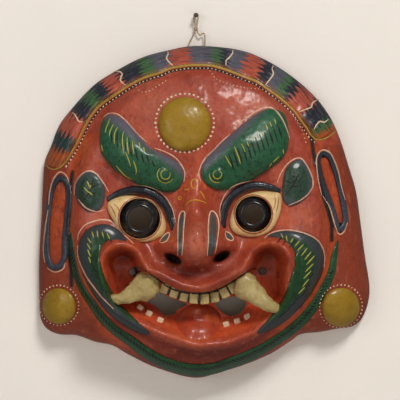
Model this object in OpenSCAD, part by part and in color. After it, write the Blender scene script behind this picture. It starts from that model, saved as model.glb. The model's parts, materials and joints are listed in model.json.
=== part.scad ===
// Papier-mache guardian mask that hangs from a nail by a short cord.
// X is to the viewer's right, Z is up and the mask faces -Y.
// The wall is the plane Y = 0, and the origin is the nail's axis at the wall.
// Outlines are drawn in plan, [across, up], from the middle of a mask that is
// 300 mm high, and plan() scales them to mask_h.

/* [Mask] */
// Overall height of the mask
mask_h = 300; // [270:5:330]
// Thickness of the moulded paper wall
wall = 3.5; // [3:0.5:4.5]
// How far the ear panels stand out from the wall
panel_depth = 42; // [36:1:48]
// How much further the face stands out than the ear panels
face_raise = 17; // [12:1:20]
// How far the nose stands out from the face
nose_raise = 31; // [24:1:36]
// How far the lips stand out round the mouth
lip_raise = 11; // [7:1:14]
// Depth of the mouth's floor behind the face
mouth_recess = 25; // [20:1:28]

/* [Applied relief] */
// How far the brows stand out
brow_raise = 12; // [8:1:15]
// How far the forehead boss and the ear discs stand out
boss_raise = 9; // [6:1:12]
// How far the flames and leaves stand out
leaf_raise = 6; // [4:1:9]
// How far the bands, loops and eyelids stand out
band_raise = 4.5; // [3:0.5:6]
// How far the relief's underside is bedded into the wall
bedding = 0.5; // [0.3:0.1:0.8]

/* [Eyes] */
// Radius of the left iris
iris_r_left = 18; // [16:0.5:19]
// Radius of the right iris
iris_r_right = 16; // [14:0.5:17]
// Radius of the left sight hole
sight_r_left = 10.5; // [8:0.5:12]
// Radius of the right sight hole
sight_r_right = 9; // [7:0.5:10]

/* [Holes] */
// Radius of the tie holes at the mouth corners
tie_r = 2.8; // [2:0.2:3.2]
// Radius of the two cord holes in the top edge
cord_hole_r = 1.9; // [1.7:0.1:2.1]

/* [Nail and cord] */
// Radius of the nail's shank in the wall
nail_r = 0.75; // [0.6:0.05:0.8]
// Radius of the nail's neck in front of the wall
nail_neck_r = 1; // [0.95:0.05:1.05]
// Radius of the nail's head
nail_head_r = 2; // [1.8:0.1:2.4]
// Length of shank in front of the wall
nail_out = 9; // [8:1:12]
// Length of shank that goes into the wall
nail_in = 16; // [10:1:25]
// Radius of the hanging cord
cord_r = 0.6; // [0.5:0.05:0.65]

/* [Hidden] */

red = "#a8452c";
dark_red = "#74270f";
green = "#2f6a4c";
slate = "#50525c";
ochre = "#8f6c16";
ivory = "#c0ae7c";
cream = "#d8bf8c";
black = "#15140f";
twine = "#b09a78";
steel = "#5c5c60";

drawn_h = 300;
k = mask_h / drawn_h;
top_gap = 27;
mid_z = -top_gap - mask_h / 2;

// Plan point to a point in space that stands out from the wall by depth
function plan(p, depth) = [k * p.x, -depth, mid_z + k * p.y];

// ---- Smooth curves through hand-placed points ----

function blend4(a, b, c, d, t) =
    (2 * b + (c - a) * t + (2 * a - 5 * b + 4 * c - d) * t * t
    + (3 * b - a - 3 * c + d) * t * t * t) / 2;

function closed_curve(p, n) = let(m = len(p)) [
    for (i = [0:m - 1], j = [0:n - 1])
        blend4(p[(i + m - 1) % m], p[i], p[(i + 1) % m], p[(i + 2) % m], j / n)
];

function open_curve(p, n) = let(m = len(p) - 1) [
    for (i = [0:m - 1], j = [0:n - 1])
        blend4(p[max(i - 1, 0)], p[i], p[i + 1], p[min(i + 2, m)], j / n),
    p[m]
];

// ---- The mask's outline, seen from the front ----

centre = [6, 0];
outline = closed_curve([
    [-139, 20], [-140, -5], [-142, -40], [-142, -74], [-141, -95], [-135, -106],
    [-124, -111], [-108, -112], [-91, -118], [-76, -121], [-62, -129], [-42, -139],
    [-22, -146], [-6, -150], [6, -150], [20, -146], [43, -139], [67, -129], [86, -117],
    [95, -111], [112, -109], [128, -106], [141, -104], [150, -97], [156, -82], [157, -66],
    [153, -40], [149, -10], [145, 18], [138, 42], [130, 67], [120, 88], [103, 109],
    [76, 130], [48, 144], [22, 149], [-4, 150], [-26, 146], [-48, 140], [-70, 129],
    [-92, 115], [-112, 94], [-124, 78], [-131, 60], [-137, 45]
], 4);
outline_table = [
    for (p = outline) [atan2(p.y - centre.y, p.x - centre.x), norm(p - centre)]
];
function reach(a) = lookup(a, outline_table);

// ---- The moulded surface ----

function clamp01(v) = min(1, max(0, v));
function ease(v) = let(c = clamp01(v)) c * c * (3 - 2 * c);
function swell(p, at, size) =
    exp(-pow((p.x - at.x) / size.x, 2) - pow((p.y - at.y) / size.y, 2));

// A swell with a fuller crown, for the nose
function bulb(p, at, size) =
    exp(-pow(norm([(p.x - at.x) / size.x, (p.y - at.y) / size.y]), 3));

// A slanted swell, for the nostrils
function slant_swell(p, at, size, a) = let(d = p - at)
    exp(-pow((d.x * cos(a) + d.y * sin(a)) / size.x, 2)
    - pow((d.y * cos(a) - d.x * sin(a)) / size.y, 2));

// The mouth is a chain of round stretches, [across, up, radius]
mouth = [
    [-66, -47.5, 14], [-58, -70, 18], [-41, -78, 20], [-20, -88, 19], [4, -94, 20],
    [22, -91, 22], [38, -84, 23], [58, -70, 20], [65, -46, 14]
];
function stretch_gap(p, a, b) = let(
    run = [b.x - a.x, b.y - a.y],
    off = [p.x - a.x, p.y - a.y],
    t = clamp01((off * run) / (run * run))
) norm(off - run * t) - (a.z + (b.z - a.z) * t);
function mouth_gap(p) = min([
    for (i = [0:len(mouth) - 2]) stretch_gap(p, mouth[i], mouth[i + 1])
]);

// The wall is level for a few millimetres round each tie hole
tie_left = [-57, -54];
tie_right = [59.5, -53];
tie_seat = 39;
seat_left = 11;
seat_right = 14;
function seat_share(p) = max(
    ease((seat_left - norm(p - tie_left)) / 2.5),
    ease((seat_right - norm(p - tie_right)) / 2.5)
);

oval = [3, -6];
oval_half = [118, 141];
lip_reach = 5;
lip_width = 5.5;
function skin(p) = let(share = seat_share(p)) tie_seat * share + moulded(p) * (1 - share);
function moulded(p) = let(
    d = p - centre,
    t = min(1, norm(d) / reach(atan2(d.y, d.x))),
    edge = t > 0.9999 ? 0 : sqrt(1 - pow(t, 5)),
    q = norm([(p.x - oval.x) / oval_half.x, (p.y - oval.y) / oval_half.y]),
    m = mouth_gap(p),
    lips = exp(-pow((m - lip_reach) / lip_width, 2))
) edge * (
    panel_depth
    + face_raise * ease((1.03 - q) / 0.13)
    + nose_raise * bulb(p, [0, -27], [19, 20])
    + 14 * swell(p, [0, 8], [12, 26])
    + 14 * bulb(p, [-24, -31], [10, 9])
    + 14 * bulb(p, [25, -29], [10, 9])
    - 9 * slant_swell(p, [-20, -40], [6, 4], -35)
    - 9 * slant_swell(p, [22, -38], [6, 4], 35)
    + 9 * swell(p, [0, -56], [62, 17])
    + 8 * swell(p, [-84, -32], [26, 32])
    + 8 * swell(p, [90, -34], [26, 32])
    + 7 * swell(p, [4, -128], [50, 13])
    + 6 * swell(p, [-48, 52], [34, 20])
    + 6 * swell(p, [44, 54], [34, 20])
    + 4 * swell(p, [-8, 86], [60, 34])
    - 7 * swell(p, [-50, -4], [23, 20])
    - 7 * swell(p, [51, -1], [23, 20])
    - mouth_recess * ease((2 - m) / 8)
    + lip_raise * lips
);

// ---- Solids that lie on the moulded surface ----

// Faces between two stacked grids of rows x cols points, closed round the rim
function grid_faces(rows, cols) = let(under = rows * cols) [
    for (i = [0:rows - 2], j = [0:cols - 2]) let(a = i * cols + j, b = a + cols)
        each [
            [a, a + 1, b + 1], [a, b + 1, b],
            [under + a, under + b + 1, under + a + 1], [under + a, under + b, under + b + 1]
        ],
    for (i = [0:rows - 2]) let(
        a = i * cols, b = a + cols, c = a + cols - 1, d = c + cols
    ) each [
        [a, b, under + b], [a, under + b, under + a],
        [c, under + d, d], [c, under + c, under + d]
    ],
    for (j = [0:cols - 2]) let(a = j, b = (rows - 1) * cols + j)
        each [
            [a, under + a + 1, a + 1], [a, under + a, under + a + 1],
            [b, b + 1, under + b + 1], [b, under + b + 1, under + b]
        ]
];

// Faces between two discs of rings, each with one middle point
function disc_faces(rings, spokes) = let(under = rings * spokes + 1) [
    for (j = [0:spokes - 1]) let(n = (j + 1) % spokes)
        each [[0, 1 + n, 1 + j], [under, under + 1 + j, under + 1 + n]],
    for (i = [0:rings - 2], j = [0:spokes - 1]) let(
        n = (j + 1) % spokes,
        a = 1 + i * spokes + j, b = 1 + i * spokes + n,
        c = a + spokes, d = b + spokes
    ) each [
        [a, b, d], [a, d, c],
        [under + a, under + d, under + b], [under + a, under + c, under + d]
    ],
    for (j = [0:spokes - 1]) let(
        n = (j + 1) % spokes, a = 1 + (rings - 1) * spokes + j, b = 1 + (rings - 1) * spokes + n
    ) each [[a, b, under + b], [a, under + b, under + a]]
];

// A pillowed pad inside a closed plan curve
module pad(curve, middle, height, rings = 3, fullness = 2.5) {
    spokes = len(curve);
    plan_points = [
        middle,
        for (i = [1:rings], j = [0:spokes - 1]) middle + (curve[j] - middle) * (i / rings)
    ];
    rise = [
        height,
        for (i = [1:rings], j = [0:spokes - 1]) height * sqrt(1 - pow(i / rings, fullness))
    ];
    tops = [for (i = [0:len(rise) - 1]) plan(plan_points[i], skin(plan_points[i]) + rise[i])];
    unders = [for (p = plan_points) plan(p, skin(p) - bedding)];
    polyhedron(concat(tops, unders), disc_faces(rings, spokes), convexity = 6);
}

// A rounded strip along an open route of [across, up, half width]
module strip(route, height, across = 4) {
    rows = len(route);
    cols = across + 1;
    rim_rise = 0.5;
    plan_points = [
        for (i = [0:rows - 1], j = [0:across]) let(
            run = route[min(i + 1, rows - 1)] - route[max(i - 1, 0)],
            side = [-run.y, run.x] / norm([run.x, run.y])
        ) [route[i].x, route[i].y] + side * route[i].z * (2 * j / across - 1)
    ];
    rise = [
        for (i = [0:rows - 1], j = [0:across])
            rim_rise + height * sqrt(1 - pow(2 * j / across - 1, 2))
            * sqrt(sin(180 * clamp01(0.04 + 0.92 * i / (rows - 1))))
    ];
    tops = [for (i = [0:len(rise) - 1]) plan(plan_points[i], skin(plan_points[i]) + rise[i])];
    unders = [for (p = plan_points) plan(p, skin(p) - bedding)];
    polyhedron(concat(tops, unders), grid_faces(rows, cols), convexity = 6);
}

// A round-topped ring along a closed plan curve
module ring_strip(curve, half, height) {
    count = len(curve);
    sections = [[-1, 0.5], [-0.6, 0.85], [0, 1], [0.6, 0.85], [1, 0.5], [1, 0], [-1, 0]];
    m = len(sections);
    points = [
        for (i = [0:count - 1], s = sections) let(
            run = curve[(i + 1) % count] - curve[(i + count - 1) % count],
            side = [-run.y, run.x] / norm(run),
            p = curve[i] + side * half * s.x
        ) plan(p, skin(p) - bedding + (height + bedding) * s.y)
    ];
    faces = [
        for (i = [0:count - 1], j = [0:m - 1]) let(
            n = (i + 1) % count, l = (j + 1) % m
        ) each [
            [i * m + j, n * m + l, n * m + j], [i * m + j, i * m + l, n * m + l]
        ]
    ];
    polyhedron(points, faces, convexity = 6);
}

// A round bar swept along points in space, with a radius for each
module sweep(route, radii, sides) {
    rings = len(route);
    points = [
        for (i = [0:rings - 1], j = [0:sides - 1]) let(
            run = route[min(i + 1, rings - 1)] - route[max(i - 1, 0)],
            along = run / norm(run),
            side = cross(along, [0, 1, 0]) / norm(cross(along, [0, 1, 0])),
            out = cross(side, along),
            a = 360 * j / sides
        ) route[i] + radii[i] * (side * cos(a) + out * sin(a)),
        route[0],
        route[rings - 1]
    ];
    first = rings * sides;
    faces = [
        for (i = [0:rings - 2], j = [0:sides - 1]) let(
            n = (j + 1) % sides, a = i * sides + j, b = i * sides + n
        ) each [[a, b, b + sides], [a, b + sides, a + sides]],
        for (j = [0:sides - 1]) let(n = (j + 1) % sides)
            each [
                [first, n, j],
                [first + 1, (rings - 1) * sides + j, (rings - 1) * sides + n]
            ]
    ];
    polyhedron(points, faces, convexity = 8);
}

// A bar of the given radius through the wall, along Y
module wall_bore(p, r) {
    translate(plan(p, -5)) rotate([90, 0, 0]) cylinder(r = r, h = 130, $fn = 48);
}

// ---- Nail and cord ----

cord_y = -4;
hole_left = -7;
hole_right = 8;
hole_z = -top_gap - 4;
knot_at = [0, cord_y, -12];
knot_r = 1.9;
stopper_r = 2.1;
stopper_z = hole_z - 5;

module wall_nail() {
    head_h = 1.2;
    color(steel) rotate([90, 0, 0]) {
        translate([0, 0, -nail_in]) cylinder(r = nail_r, h = nail_in, $fn = 48);
        cylinder(r = nail_neck_r, h = nail_out, $fn = 48);
        translate([0, 0, nail_out - 0.2]) cylinder(r = nail_head_r, h = head_h, $fn = 48);
        translate([0, 0, -nail_in - 3]) cylinder(r1 = 0.15, r2 = nail_r, h = 3, $fn = 48);
    }
}

// The route runs from the left stopper knot up, over the nail and down to the right one
cord_left = [
    [hole_left, cord_y, stopper_z + stopper_r], [hole_left, cord_y, -32],
    [-6.8, cord_y, -27], [-5.2, cord_y, -23], [-3.2, cord_y, -19],
    [-1.4, cord_y, -15.5], [-0.8, cord_y, -13]
];
cord_over = [
    [-0.7, cord_y, -11.4], [-1, cord_y, -8], [-1.7, cord_y, -4], [-1.85, cord_y, -1],
    [-1.7, cord_y, 0.7], [-1, cord_y, 1.6], [0, cord_y, 1.9], [1, cord_y, 1.6],
    [1.7, cord_y, 0.7], [1.85, cord_y, -1], [1.7, cord_y, -4], [1, cord_y, -8],
    [0.7, cord_y, -11.4]
];
cord_right = [
    [0.9, cord_y, -13.2], [1.8, cord_y, -15.8], [3.4, cord_y, -17.8], [4.6, cord_y, -17.6],
    [5.6, cord_y, -16.4], [6.8, cord_y, -16], [7.6, cord_y, -17.4], [8, cord_y, -20],
    [8.1, cord_y, -24], [hole_right, cord_y, -28], [hole_right, cord_y, -32],
    [hole_right, cord_y, stopper_z + stopper_r]
];

module hanging_cord() {
    route = open_curve(concat(cord_left, cord_over, cord_right), 2);
    color(twine) difference() {
        sweep(route, [for (p = route) cord_r], 8);
        translate(knot_at) sphere(r = knot_r, $fn = 32);
    }
}

module cord_knot() {
    color(twine) translate(knot_at) sphere(r = knot_r, $fn = 32);
}

module stopper_knots() {
    color(twine) for (x = [hole_left, hole_right])
        translate([x, cord_y, stopper_z]) sphere(r = stopper_r, $fn = 32);
}

// ---- Face shell ----

shell_rings = 25;
shell_spokes = 88;
mouth_hole_left = closed_curve([
    [-46, -79], [-42, -75], [-35, -71], [-23, -77], [-14, -80], [-8, -83], [-17, -88],
    [-20, -92], [-29, -92], [-36, -85]
], 2);
mouth_hole_right = closed_curve([
    [17, -81], [28, -77], [35, -76], [42, -78], [45, -82], [41, -90], [35, -93],
    [29, -93], [21, -88]
], 2);

module face_shell() {
    ts = [for (i = [1:shell_rings]) 1 - pow(1 - i / shell_rings, 1.35)];
    fronts = [
        plan(centre, skin(centre)),
        for (t = ts, j = [0:shell_spokes - 1]) let(
            a = 360 * j / shell_spokes - 180,
            p = centre + t * reach(a) * [cos(a), sin(a)]
        ) plan(p, skin(p))
    ];
    backs = [
        plan(centre, skin(centre) - wall),
        for (t = ts, j = [0:shell_spokes - 1]) let(
            a = 360 * j / shell_spokes - 180,
            p = centre + t * reach(a) * [cos(a), sin(a)],
            inner = centre + (t * reach(a) - wall * ease((t - 0.85) / 0.15)) * [cos(a), sin(a)]
        ) plan(inner, max(0, skin(p) - wall))
    ];
    color(red) difference() {
        polyhedron(
            concat(fronts, backs), disc_faces(shell_rings, shell_spokes), convexity = 10
        );
        wall_bore(iris_left_at, sight_r_left + 1.5);
        wall_bore(iris_right_at, sight_r_right + 1.5);
        wall_bore(tie_left, tie_r);
        wall_bore(tie_right, tie_r);
        for (hole = [mouth_hole_left, mouth_hole_right])
            translate([0, 5, mid_z]) rotate([90, 0, 0]) scale(k)
                linear_extrude(130) polygon(hole);
        for (x = [hole_left, hole_right])
            translate([x, cord_y, hole_z - 4]) cylinder(r = cord_hole_r, h = 12, $fn = 32);
    }
}

// ---- Applied relief ----

module head_band() {
    route = open_curve([
        [-124, 45, 4], [-120, 56, 7], [-114, 70, 9], [-105, 85, 10], [-92, 99, 10],
        [-75, 114, 9], [-55, 125, 8.5], [-34, 133, 8], [-13, 138, 8], [4, 139, 7.5],
        [25, 137, 8], [46, 130, 9], [65, 120, 10], [83, 106, 10.5], [97, 92, 10],
        [107, 80, 9], [114, 69, 5]
    ], 2);
    color(slate) strip(route, band_raise + 2);
}

module forehead_boss() {
    boss_r = 23.5;
    at = [-10, 79];
    curve = [for (a = [0:15:345]) at + boss_r * [cos(a), sin(a)]];
    color(ochre) pad(curve, at, boss_raise);
}

module brow_left() {
    curve = closed_curve([
        [-77, 87], [-62, 81], [-46, 63], [-39, 56], [-25, 50], [-13, 41], [-11, 32],
        [-14, 23.5], [-23, 18.5], [-39, 21.5], [-57, 28.5], [-73, 39], [-84, 53], [-86, 69], [-84, 81]
    ], 2);
    color(green) pad(curve, [-53, 49], brow_raise);
}

module brow_right() {
    curve = closed_curve([
        [65, 92], [79, 87], [83, 66], [78, 50], [60, 36], [41, 26], [24, 20.5], [10, 25],
        [4, 37], [10, 50], [25, 64], [41, 78], [53, 87]
    ], 2);
    color(green) pad(curve, [46, 54], brow_raise);
}

iris_left_at = [-50, -6];
iris_right_at = [51, -2];
eye_fit = 0.15;

// An eyeball with a round seat for its iris
module eyeball(points, at, iris_r) {
    color(cream) difference() {
        pad(closed_curve(points, 2), at, 10, 4);
        wall_bore(at, iris_r + eye_fit);
    }
}

module eye_left() {
    eyeball([
        [-79, 7], [-67, 14], [-52, 14], [-37, 9], [-27, -8], [-30, -20], [-47, -25.5],
        [-62, -19.5], [-73, -7.5]
    ], iris_left_at, iris_r_left);
}

module eye_right() {
    eyeball([
        [76, 15], [68, 18], [53, 18], [38, 11], [30, -6], [34, -17], [52, -21], [67, -15],
        [75, 0]
    ], iris_right_at, iris_r_right);
}

// A turned ring with a raised lip round the sight hole
module iris(at, outer_r, hole_r) {
    foot = skin(at) - 1;
    lip_r = 2.2;
    crown = 12;
    color(black) translate(plan(at, foot)) rotate([90, 0, 0]) rotate_extrude($fn = 64)
        polygon([
            [hole_r, 0], [outer_r, 0], [outer_r, crown - 5], [outer_r - 2, crown - 2.6],
            [hole_r + lip_r + 1.5, crown - 1], [hole_r + lip_r, crown],
            [hole_r + lip_r / 2, crown + 0.9], [hole_r + 0.4, crown + 0.3], [hole_r, crown - 1]
        ]);
}

module iris_left() {
    iris(iris_left_at, iris_r_left, sight_r_left);
}

module iris_right() {
    iris(iris_right_at, iris_r_right, sight_r_right);
}

module eyelid_left() {
    route = open_curve([
        [-79, 11.5, 1.5], [-68, 17, 2.6], [-54, 19.5, 2.8], [-39, 16, 2.9], [-27, 6.5, 3.1],
        [-21, -8, 2]
    ], 3);
    color(black) strip(route, band_raise);
}

module eyelid_right() {
    route = open_curve([
        [71, 22, 1.5], [60, 24, 2.4], [47, 22.5, 2.8], [34, 16, 2.9], [26, 6, 3.1], [25, -5, 2]
    ], 3);
    color(black) strip(route, band_raise);
}

module temple_leaf_left() {
    curve = closed_curve([
        [-95, 36], [-87, 32], [-82, 24], [-81, 15], [-84, 5], [-91, 1], [-99, 3], [-107, 13],
        [-108, 24], [-104, 32]
    ], 2);
    color(slate) pad(curve, [-95, 18], leaf_raise);
}

module temple_leaf_right() {
    curve = closed_curve([
        [93, 47], [98, 44], [102, 36], [104, 26], [102, 18], [94, 10], [84, 6], [79, 9],
        [77, 15], [77, 25], [79, 36], [85, 44]
    ], 2);
    color(slate) pad(curve, [90, 27], leaf_raise);
}

module flame_left() {
    route = open_curve([
        [-62, -25.5, 1], [-70.5, -20.5, 4.5], [-81, -18.5, 8], [-91, -23.5, 10], [-95, -33, 10.5],
        [-94, -45, 9.5], [-89, -60, 8.5], [-82, -73, 7.5], [-73, -85, 6.5], [-61, -96, 5.5],
        [-50, -104, 3.5], [-42, -108, 1]
    ], 2);
    color(green) strip(route, leaf_raise);
}

module flame_right() {
    route = open_curve([
        [64, -21, 1], [76, -20, 3.5], [87, -23, 7.5], [97, -30, 12], [101, -40, 14],
        [100, -51, 13], [95, -62, 12], [89, -74, 10], [81, -85, 8], [72, -95, 6],
        [63, -102, 3.5], [55, -107, 1]
    ], 2);
    color(green) strip(route, leaf_raise);
}

module beard_band() {
    route = open_curve([
        [-112, -19, 1], [-111, -34, 2.5], [-108, -52, 3], [-103, -66, 3], [-94, -80, 3.5],
        [-84, -94, 4], [-73, -105, 4], [-59, -115, 4.5], [-44, -126, 5], [-28, -135, 5],
        [-10, -140.5, 5.5], [4, -141.5, 5.5], [18, -139.5, 5], [31, -135, 4.5], [49, -128, 4.5],
        [67, -118, 4.5], [85, -106, 4.5], [97.5, -94, 4.5], [106.5, -82, 4], [114.5, -68, 3.8],
        [121, -54, 3.5], [124, -39, 3], [127, -26, 1]
    ], 2);
    color(green) strip(route, band_raise - 0.5, 3);
}

ear_loop_half = 2.9;
module ear_loop_left() {
    curve = closed_curve([
        [-122, 31], [-116, 26], [-114, 15], [-115.5, -3], [-117.5, -25], [-118, -40],
        [-121.5, -48], [-127, -50], [-132, -46], [-134.5, -34], [-134, -12], [-132, 8],
        [-128, 24]
    ], 2);
    color(slate) ring_strip(curve, ear_loop_half, band_raise - 1);
}

module ear_loop_right() {
    curve = closed_curve([
        [113, 53], [120, 49], [125, 37], [129.5, 20], [133, 3], [134, -9], [129, -16],
        [125, -8], [121, 6], [116, 19], [111, 34], [109, 46]
    ], 2);
    color(slate) ring_strip(curve, ear_loop_half, band_raise - 1);
}

module ear_disc(at, r) {
    curve = [for (a = [0:18:342]) at + r * [cos(a), sin(a)]];
    color(ochre) pad(curve, at, boss_raise - 3);
}

module ear_disc_left() {
    ear_disc([-123, -84], 15.5);
}

module ear_disc_right() {
    ear_disc([130, -85], 17);
}

// ---- Mouth ----

// A block that stands on the mouth's floor, with a flat front and rounded edges
module block(curve, middle, front) {
    spokes = len(curve);
    rings = 2;
    edge_drop = [0, 0.4, 2];
    points = [
        middle,
        for (i = [1:rings], j = [0:spokes - 1]) middle + (curve[j] - middle) * (i / rings)
    ];
    drop = [edge_drop[0], for (i = [1:rings], j = [0:spokes - 1]) edge_drop[i]];
    tops = [for (i = [0:len(points) - 1]) plan(points[i], front - drop[i])];
    unders = [for (p = points) plan(p, min(skin(p) - bedding, front - 4))];
    polyhedron(concat(tops, unders), disc_faces(rings, spokes), convexity = 6);
}

// One tooth: a block with cut corners, turned to follow the jaw
module tooth(at, w, h, turn, front) {
    c = w / 5;
    corners = [
        [w / 2, h / 2 - c], [w / 2 - c, h / 2], [c - w / 2, h / 2], [-w / 2, h / 2 - c],
        [-w / 2, c - h / 2], [c - w / 2, -h / 2], [w / 2 - c, -h / 2], [w / 2, c - h / 2]
    ];
    block([
        for (p = corners) at + [
            p.x * cos(turn) - p.y * sin(turn), p.x * sin(turn) + p.y * cos(turn)
        ]
    ], at, front);
}

upper_teeth_front = 58;
lower_teeth_front = 54;

// Each tooth is [across, up, turn]
module upper_teeth() {
    row = [
        [-28, -68, -22], [-19, -72, -18], [-10.5, -75, -14], [-1.5, -77, -6], [7.5, -77.5, 2],
        [16.5, -76, 8], [25.5, -72, 24]
    ];
    color(ivory) for (t = row) tooth([t.x, t.y], 7.8, 10, t.z, upper_teeth_front);
}

module lower_teeth(row) {
    color(ivory) for (t = row) tooth([t.x, t.y], 5, 5, t.z, lower_teeth_front);
}

module lower_teeth_left() {
    lower_teeth([[-50, -86, -35], [-42, -91, -30], [-32, -97, -20]]);
}

module lower_teeth_right() {
    lower_teeth([[27, -101, 12], [37, -98, 18], [46, -94, 25]]);
}

module fang_left() {
    route = open_curve([
        plan([-36, -63], 50), plan([-43, -66], 56), plan([-50, -69], 60),
        plan([-60, -73], 62), plan([-69, -77], 63.5), plan([-75, -77], 62.5)
    ], 2);
    radii = open_curve([6, 8.5, 9.5, 7.5, 4.5, 1], 2);
    color(ivory) sweep(route, radii * k, 12);
}

module fang_right() {
    route = open_curve([
        plan([34, -62], 50), plan([40, -67], 57), plan([48, -73], 60),
        plan([57, -79], 62), plan([66, -84], 62), plan([72, -86], 60)
    ], 2);
    radii = open_curve([7, 9.5, 9, 7.5, 6, 3], 2);
    color(ivory) sweep(route, radii * k, 12);
}

module tongue() {
    at = [4, -99];
    half = [19, 13];
    curve = [for (a = [0:20:340]) at + [half.x * cos(a), half.y * sin(a)]];
    color(dark_red) pad(curve, at, 14, 3, 2);
}

wall_nail();
hanging_cord();
cord_knot();
stopper_knots();
face_shell();
head_band();
forehead_boss();
brow_left();
brow_right();
eyelid_left();
eyelid_right();
eye_left();
eye_right();
iris_left();
iris_right();
temple_leaf_left();
temple_leaf_right();
upper_teeth();
lower_teeth_left();
lower_teeth_right();
fang_left();
fang_right();
tongue();
flame_left();
flame_right();
beard_band();
ear_loop_left();
ear_loop_right();
ear_disc_left();
ear_disc_right();
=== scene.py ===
"""The painted guardian mask, its twine and its nail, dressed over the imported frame.

Plan points are [across, up] in millimetres from the middle of the mask, as the
maker would draw them on paper. to_space() stands them out from the wall plane.
"""
import json
import math
import random

import bmesh
import bpy
import numpy as np
from mathutils import Matrix, Vector, noise
from mathutils.bvhtree import BVHTree

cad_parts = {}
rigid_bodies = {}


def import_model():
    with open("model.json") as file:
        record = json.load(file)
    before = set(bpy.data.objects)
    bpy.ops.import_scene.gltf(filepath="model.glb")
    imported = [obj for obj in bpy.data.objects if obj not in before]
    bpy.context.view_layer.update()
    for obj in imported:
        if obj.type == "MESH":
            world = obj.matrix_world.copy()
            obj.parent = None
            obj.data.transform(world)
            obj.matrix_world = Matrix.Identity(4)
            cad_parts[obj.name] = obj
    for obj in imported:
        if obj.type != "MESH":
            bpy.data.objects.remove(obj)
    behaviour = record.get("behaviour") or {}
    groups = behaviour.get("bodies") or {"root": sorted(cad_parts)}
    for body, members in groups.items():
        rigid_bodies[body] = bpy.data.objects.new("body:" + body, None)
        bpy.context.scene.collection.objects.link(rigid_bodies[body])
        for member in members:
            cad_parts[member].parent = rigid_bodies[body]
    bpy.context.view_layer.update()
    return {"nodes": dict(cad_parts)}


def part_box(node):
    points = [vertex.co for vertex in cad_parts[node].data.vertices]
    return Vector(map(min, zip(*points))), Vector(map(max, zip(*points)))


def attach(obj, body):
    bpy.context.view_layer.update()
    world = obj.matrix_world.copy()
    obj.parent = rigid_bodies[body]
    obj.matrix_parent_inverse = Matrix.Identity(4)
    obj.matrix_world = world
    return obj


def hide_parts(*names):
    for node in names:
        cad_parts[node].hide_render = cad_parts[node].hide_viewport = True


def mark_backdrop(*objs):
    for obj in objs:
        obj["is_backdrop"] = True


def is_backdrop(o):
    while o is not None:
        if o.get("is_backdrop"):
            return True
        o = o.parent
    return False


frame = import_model()

MM = 0.001
TAU = 2 * math.pi
shell_low, shell_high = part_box("face_shell")
MID_Z = (shell_low[2] + shell_high[2]) / 2


# ---- Camera, lights and studio ----

CAMERA_FAR = 4.0
FRAME_WIDTH = 0.36
SENSOR_WIDTH = 36
AIM = Vector((0.0036, -0.015, -0.1665))

# Each area light: its place, the lengths of its sides, its watts and its colour
LIGHTS = {
    "key_window": ((0.75, -2.1, 1.75), (0.65, 0.65), 50, (1, 0.97, 0.93)),
    "fill_left": ((-1.9, -2.4, 0.5), (1.4, 1.4), 13, (1, 0.97, 0.94)),
    "low_fill": ((0.3, -2.2, -0.45), (1.4, 0.3), 1.6, (1, 0.96, 0.9)),
    "hollow_fill": ((-0.5, 2.1, 0.3), (1.4, 1.4), 8, (1, 0.96, 0.9)),
}
STUDIO_PALE = (0.97, 0.925, 0.87)
ROOM_COLOUR = (0.9, 0.87, 0.83, 1)
ROOM_LIGHT = 0.17
ROOM_BEHIND = 0.8
FLOOR_Z = -0.62
FLOOR_HALF = 2.5
WALL_HALF = 7
WALL_GAP = 0.0006


def add_camera():
    camera = bpy.data.objects.new("camera", bpy.data.cameras.new("camera"))
    camera.data.lens = SENSOR_WIDTH * CAMERA_FAR / FRAME_WIDTH
    camera.data.clip_end = 30
    camera.location = AIM - Vector((0, CAMERA_FAR, 0))
    camera.rotation_euler = (math.radians(90), 0, 0)
    bpy.context.collection.objects.link(camera)
    bpy.context.scene.camera = camera


def raw_object(name, bm):
    """A finished bmesh as an object of the scene."""
    mesh = bpy.data.meshes.new(name)
    bm.to_mesh(mesh)
    bm.free()
    obj = bpy.data.objects.new(name, mesh)
    bpy.context.collection.objects.link(obj)
    return obj


def add_light(name, place, size, watts, colour):
    lamp = bpy.data.lights.new(name, "AREA")
    lamp.shape = "RECTANGLE"
    lamp.size, lamp.size_y = size
    lamp.energy = watts
    lamp.color = colour
    light = bpy.data.objects.new(name, lamp)
    light.location = place
    light.rotation_euler = (AIM - light.location).to_track_quat("-Z", "Y").to_euler()
    bpy.context.collection.objects.link(light)
    return light


def studio_paint(name, one_sided):
    """Matt pale paint. The wall's is clear from behind, so the hollow back can be seen."""
    mat = bpy.data.materials.new(name)
    mat.use_nodes = True
    nodes, links = mat.node_tree.nodes, mat.node_tree.links
    shader = nodes["Principled BSDF"]
    shader.inputs["Roughness"].default_value = 0.9
    shader.inputs["Specular IOR Level"].default_value = 0.1
    mottle = nodes.new("ShaderNodeTexNoise")
    mottle.inputs["Scale"].default_value = 9
    mottle.inputs["Detail"].default_value = 4
    where = nodes.new("ShaderNodeTexCoord")
    links.new(where.outputs["Object"], mottle.inputs["Vector"])
    tint = nodes.new("ShaderNodeMix")
    tint.data_type = "RGBA"
    tint.inputs["A"].default_value = (*STUDIO_PALE, 1)
    tint.inputs["B"].default_value = (*[0.93 * c for c in STUDIO_PALE], 1)
    links.new(mottle.outputs["Fac"], tint.inputs["Factor"])
    links.new(tint.outputs["Result"], shader.inputs["Base Color"])
    if one_sided:
        clear = nodes.new("ShaderNodeBsdfTransparent")
        side = nodes.new("ShaderNodeNewGeometry")
        choose = nodes.new("ShaderNodeMixShader")
        links.new(side.outputs["Backfacing"], choose.inputs["Fac"])
        links.new(shader.outputs["BSDF"], choose.inputs[1])
        links.new(clear.outputs["BSDF"], choose.inputs[2])
        links.new(choose.outputs["Shader"], nodes["Material Output"].inputs["Surface"])
    return mat


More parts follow.
